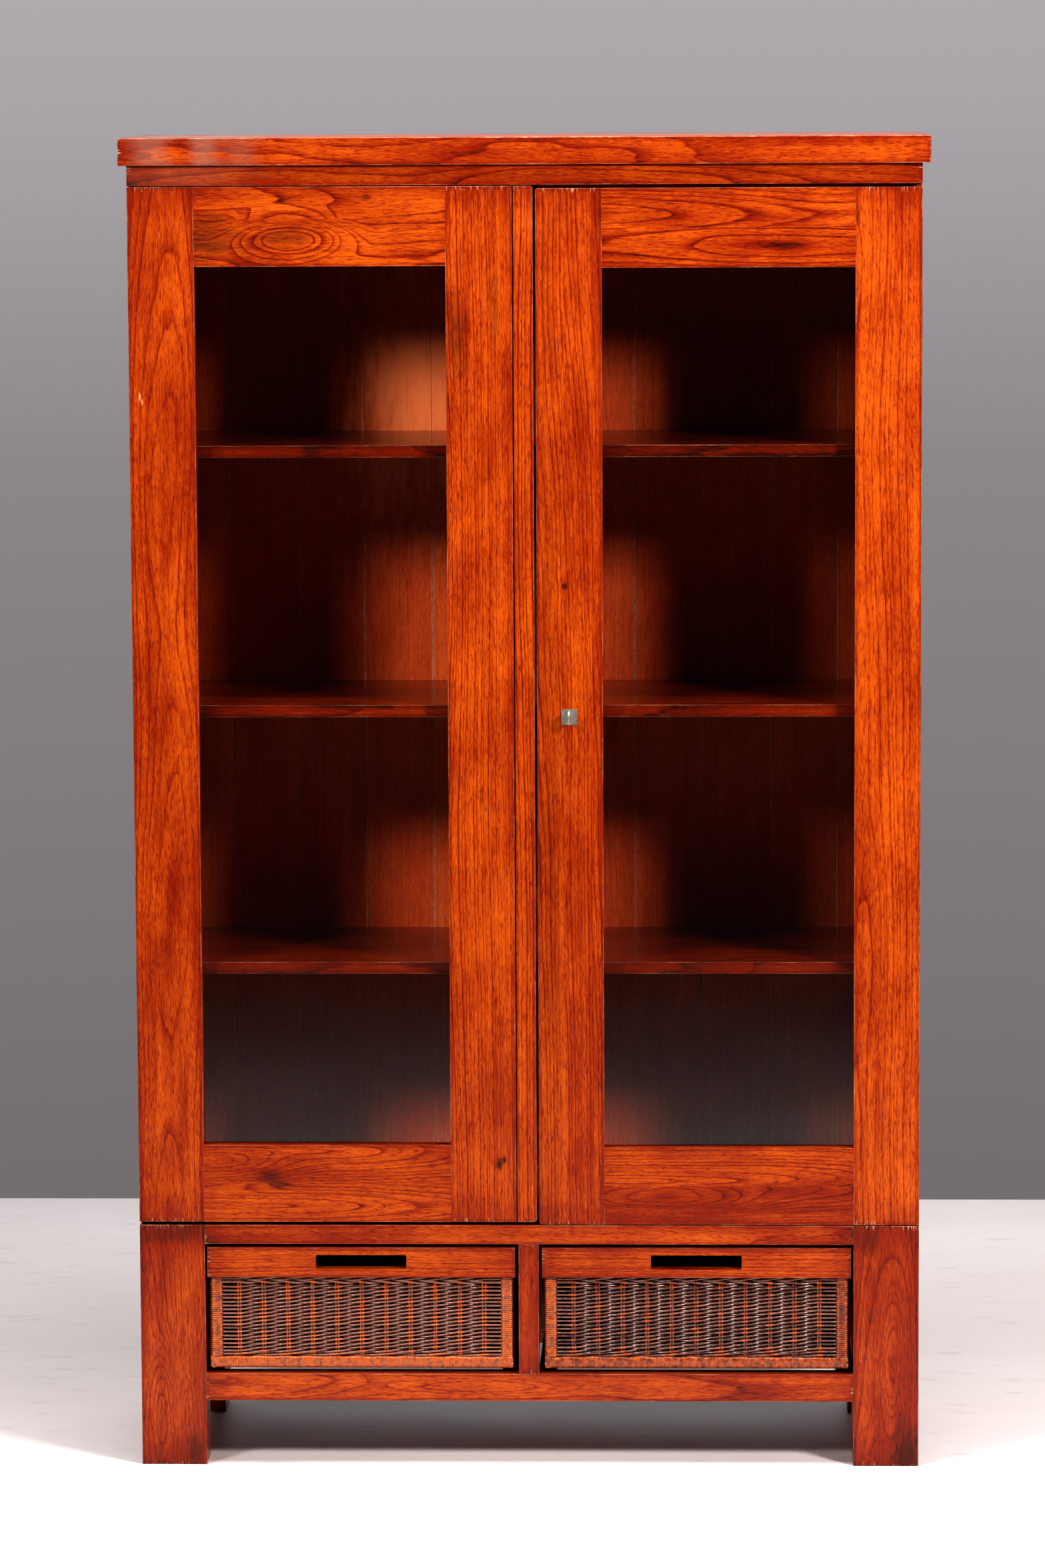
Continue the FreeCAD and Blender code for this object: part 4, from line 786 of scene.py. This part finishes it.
def make_basket(side, seed, painted_sheen):
    """A woven drawer basket in the place of its CAD solid.

    It has four walls, wound rails and posts, and a woven floor. painted_sheen is added to the tone of its
    strands, a painted sheen that makes them paler.
    """
    low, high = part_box(f"{side}_basket")
    body = f"{side}_drawer"
    width, depth, height = high - low
    inset = RAIL_DEPTH / 2
    walls = {
        "front": ((low.x, low.y + inset, low.z), (1, 0, 0), (0, -1, 0), width),
        "back": ((high.x, high.y - inset, low.z), (-1, 0, 0), (0, 1, 0), width),
        "outer": ((low.x + inset, high.y, low.z), (0, -1, 0), (-1, 0, 0), depth),
        "inner": ((high.x - inset, low.y, low.z), (0, 1, 0), (1, 0, 0), depth),
    }
    pieces = []
    for index, (name, (start, along, out, length)) in enumerate(walls.items()):
        panel = Panel(start, along, (0, 0, 1), out, length, height, seed + index)
        pieces.append(strand_piece(f"{side}_basket_{name}_weave", panel.wall_strands(), body, painted_sheen=painted_sheen))
        pieces.append(strand_piece(f"{side}_basket_{name}_rail", panel.rail_strands(), body, painted_sheen=painted_sheen))
    floor_corner = (low.x, low.y, low.z + FLOOR_LIFT)
    floor = Panel(floor_corner, (1, 0, 0), (0, 1, 0), (0, 0, 1), width, depth, seed + 9)
    rows = int((depth - 2 * RAIL_DEPTH) / ROW_PITCH)
    strands = floor.stake_strands(RAIL_DEPTH, depth - RAIL_DEPTH)
    for row in range(rows):
        strands += floor.twined_row(RAIL_DEPTH + (row + 0.5) * ROW_PITCH, rub=0.4)
    pieces.append(strand_piece(f"{side}_basket_floor_weave", strands, body, sides=5))
    posts = []
    for x in (low.x + POST / 2, high.x - POST / 2):
        for y in (low.y + POST / 2 + 0.5 * MM, high.y - POST / 2 - 0.5 * MM):
            posts += wound_post((x, y), low.z + RAIL_HEIGHT - 3 * MM, high.z, seed + 20 + len(posts))
            core = f"{side}_basket_post_core_{len(posts)}"
            pieces.append(post_core(core, (x, y), low.z + 2 * MM, high.z, body))
    pieces.append(strand_piece(f"{side}_basket_posts", posts, body, painted_sheen=painted_sheen))
    for piece in pieces:
        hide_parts(f"{side}_basket")


# ---------------------------------------------------------------- studio and camera


# The camera, solved from the perspective of the cabinet's straight edges. The lens and sensor are in
# millimetres and the angles in radians.
SENSOR_WIDTH = 36.0
LENS = 133.9
CAMERA_ASIDE = 0.2492
CAMERA_AHEAD = 8.085
CAMERA_HEIGHT = 1.9638
PAN = 0.0315
TILT = -0.1219
ROLL = 0.0047

# The lamps, placed so that the shelves and door frames throw their shadows where they should. Powers are in
# watts.
LAMP_REACH = 3.5
LAMP_HEIGHT = 2.74
LAMP_SIZE = (0.62, 0.62)
LAMP_AIM = (0, 0, 0.9)
LAMP_COLOUR = (1.0, 0.96, 0.93)
LEFT_LAMP_DEGREES = 40
LEFT_LAMP_POWER = 64.0
RIGHT_LAMP_DEGREES = 46
RIGHT_LAMP_POWER = 126.0
CEILING_AHEAD = 0.9
CEILING_HEIGHT = 4.4
CEILING_SIZE = (3.6, 1.2)
CEILING_POWER = 140.0
CEILING_COLOUR = (1, 0.98, 0.97)

# The backdrop: where its ramp starts and how far it runs, as the height of a direction one metre long.
# Each ROOM colour is the light that comes from that side of the studio.
WALL_LOW = -0.22
WALL_SPAN = 0.25
ROOM_AHEAD = (0.008, 0.008, 0.008, 1)
ROOM_BEHIND = (0.6, 0.6, 0.62, 1)
ROOM_ABOVE = (0.05, 0.05, 0.05, 1)


def make_camera():
    """A long lens at standing height, a little to the right of the middle, looking slightly down."""
    data = bpy.data.cameras.new("camera")
    data.sensor_width = SENSOR_WIDTH
    data.lens = LENS
    camera = bpy.data.objects.new("camera", data)
    camera.location = (CAMERA_ASIDE, CASE_FRONT - CAMERA_AHEAD, CAMERA_HEIGHT)
    aim = Matrix.Rotation(PAN, 4, "Z") @ Matrix.Rotation(TILT, 4, "X") @ Matrix.Rotation(ROLL, 4, "Y")
    turned = aim @ Matrix.Rotation(math.pi / 2, 4, "X")
    camera.rotation_euler = turned.to_euler()
    bpy.context.scene.collection.objects.link(camera)
    bpy.context.scene.camera = camera


def floor_material():
    """Pale studio floor paint, scuffed, that gives way to a darker floor well ahead of the cabinet."""
    material, n, shader = new_material("studio_floor")
    place = n.place()
    _, depth, _ = n.parts(place)
    cloud = n.noise(place, 1.6, detail=3.0)
    scuff = n.noise(n.stretched(place, 9.0, 34.0, 1.0), detail=5.0, roughness=0.7)
    base = n.mix(n.spread(cloud, 0.3, 0.7), screen(232, 225, 224), screen(240, 235, 235))
    base = n.mix(n.spread(scuff, 0.57, 0.7, 0.0, 0.25), base, screen(150, 140, 138))
    dark = screen(76, 72, 72)
    base = n.mix(n.spread(depth, -1.5, -0.8, 0.5, 0.0), base, dark)
    base = n.mix(n.spread(depth, -4.8, -2.6, 0.94, 0.0), base, dark)
    n.feed(shader.inputs["Base Color"], base)
    n.feed(shader.inputs["Roughness"], n.spread(cloud, 0.3, 0.7, 0.42, 0.55))
    return material


def make_floor():
    """The pale floor. It ends a step behind the cabinet, where the backdrop starts."""
    behind, ahead, aside = 1.57, 9.0, 7.0
    y_far = CASE_BACK + behind
    corners = [(-aside, -ahead, 0), (aside, -ahead, 0), (aside, y_far, 0), (-aside, y_far, 0)]
    mesh = bpy.data.meshes.new("studio_floor")
    mesh.from_pydata(corners, [], [(0, 1, 2, 3)])
    mesh.materials.append(floor_material())
    floor = bpy.data.objects.new("studio_floor", mesh)
    bpy.context.scene.collection.objects.link(floor)


def soft_box(name, place, target, size, power, colour):
    """A square or oblong lamp at place that faces target."""
    data = bpy.data.lights.new(name, "AREA")
    data.shape = "RECTANGLE"
    data.size, data.size_y = size
    data.energy = power
    data.color = colour
    lamp = bpy.data.objects.new(name, data)
    lamp.location = place
    lamp.rotation_euler = (Vector(target) - Vector(place)).to_track_quat("-Z", "Y").to_euler()
    bpy.context.scene.collection.objects.link(lamp)


def make_lights():
    """Two soft boxes, ahead to the left and right and above, and a broad one overhead."""
    left = ("left", -1, LEFT_LAMP_DEGREES, LEFT_LAMP_POWER)
    right = ("right", 1, RIGHT_LAMP_DEGREES, RIGHT_LAMP_POWER)
    for name, side, degrees, power in (left, right):
        turn = math.radians(degrees)
        place = (side * LAMP_REACH * math.sin(turn), CASE_FRONT - LAMP_REACH * math.cos(turn), LAMP_HEIGHT)
        soft_box(f"{name}_soft_box", place, LAMP_AIM, LAMP_SIZE, power, LAMP_COLOUR)
    place = (0, -CEILING_AHEAD, CEILING_HEIGHT)
    soft_box("ceiling_light", place, (0, -CEILING_AHEAD, 0), CEILING_SIZE, CEILING_POWER, CEILING_COLOUR)


def make_world():
    """Seen directly it is the grey backdrop, paler upwards.

    As light it is a dim studio, darkest ahead of the cabinet and brightest behind it.
    """
    world = bpy.data.worlds.new("studio")
    world.use_nodes = True
    bpy.context.scene.world = world
    n = Nodes(world.node_tree)
    direction = n.add("ShaderNodeTexCoord").outputs["Generated"]
    _, toward_back, upward = n.parts(direction)
    height = n.math("DIVIDE", n.math("SUBTRACT", upward, WALL_LOW), WALL_SPAN)
    wall = n.ramp(
        height,
        (0.08, screen(115, 110, 112)),
        (0.33, screen(123, 119, 121)),
        (0.61, screen(134, 130, 132)),
        (0.86, screen(157, 153, 156)),
        (1.0, screen(163, 159, 161)),
    )
    behind = n.math("MULTIPLY", n.spread(toward_back, 0.2, 0.7), n.spread(upward, 0.02, 0.2, 0.25, 1.0))
    room = n.mix(behind, ROOM_AHEAD, ROOM_BEHIND)
    room = n.mix(n.spread(upward, 0.5, 0.9), room, ROOM_ABOVE)
    seen = n.add("ShaderNodeLightPath").outputs["Is Camera Ray"]
    background = world.node_tree.nodes["Background"]
    n.feed(background.inputs["Color"], n.mix(seen, room, wall))
    background.inputs["Strength"].default_value = 1.0


def make_studio():
    """The floor, the lamps, the backdrop, and how the picture's light turns into screen colours."""
    make_floor()
    make_lights()
    make_world()
    bpy.context.scene.view_settings.view_transform = "Standard"
    bpy.context.scene.view_settings.look = "High Contrast"


make_camera()
make_studio()
dress_wood()
dress_hardware()
# The left basket's strands are paler: a painted sheen.
make_basket("left", 11, painted_sheen=0.8)
make_basket("right", 47, painted_sheen=0.0)
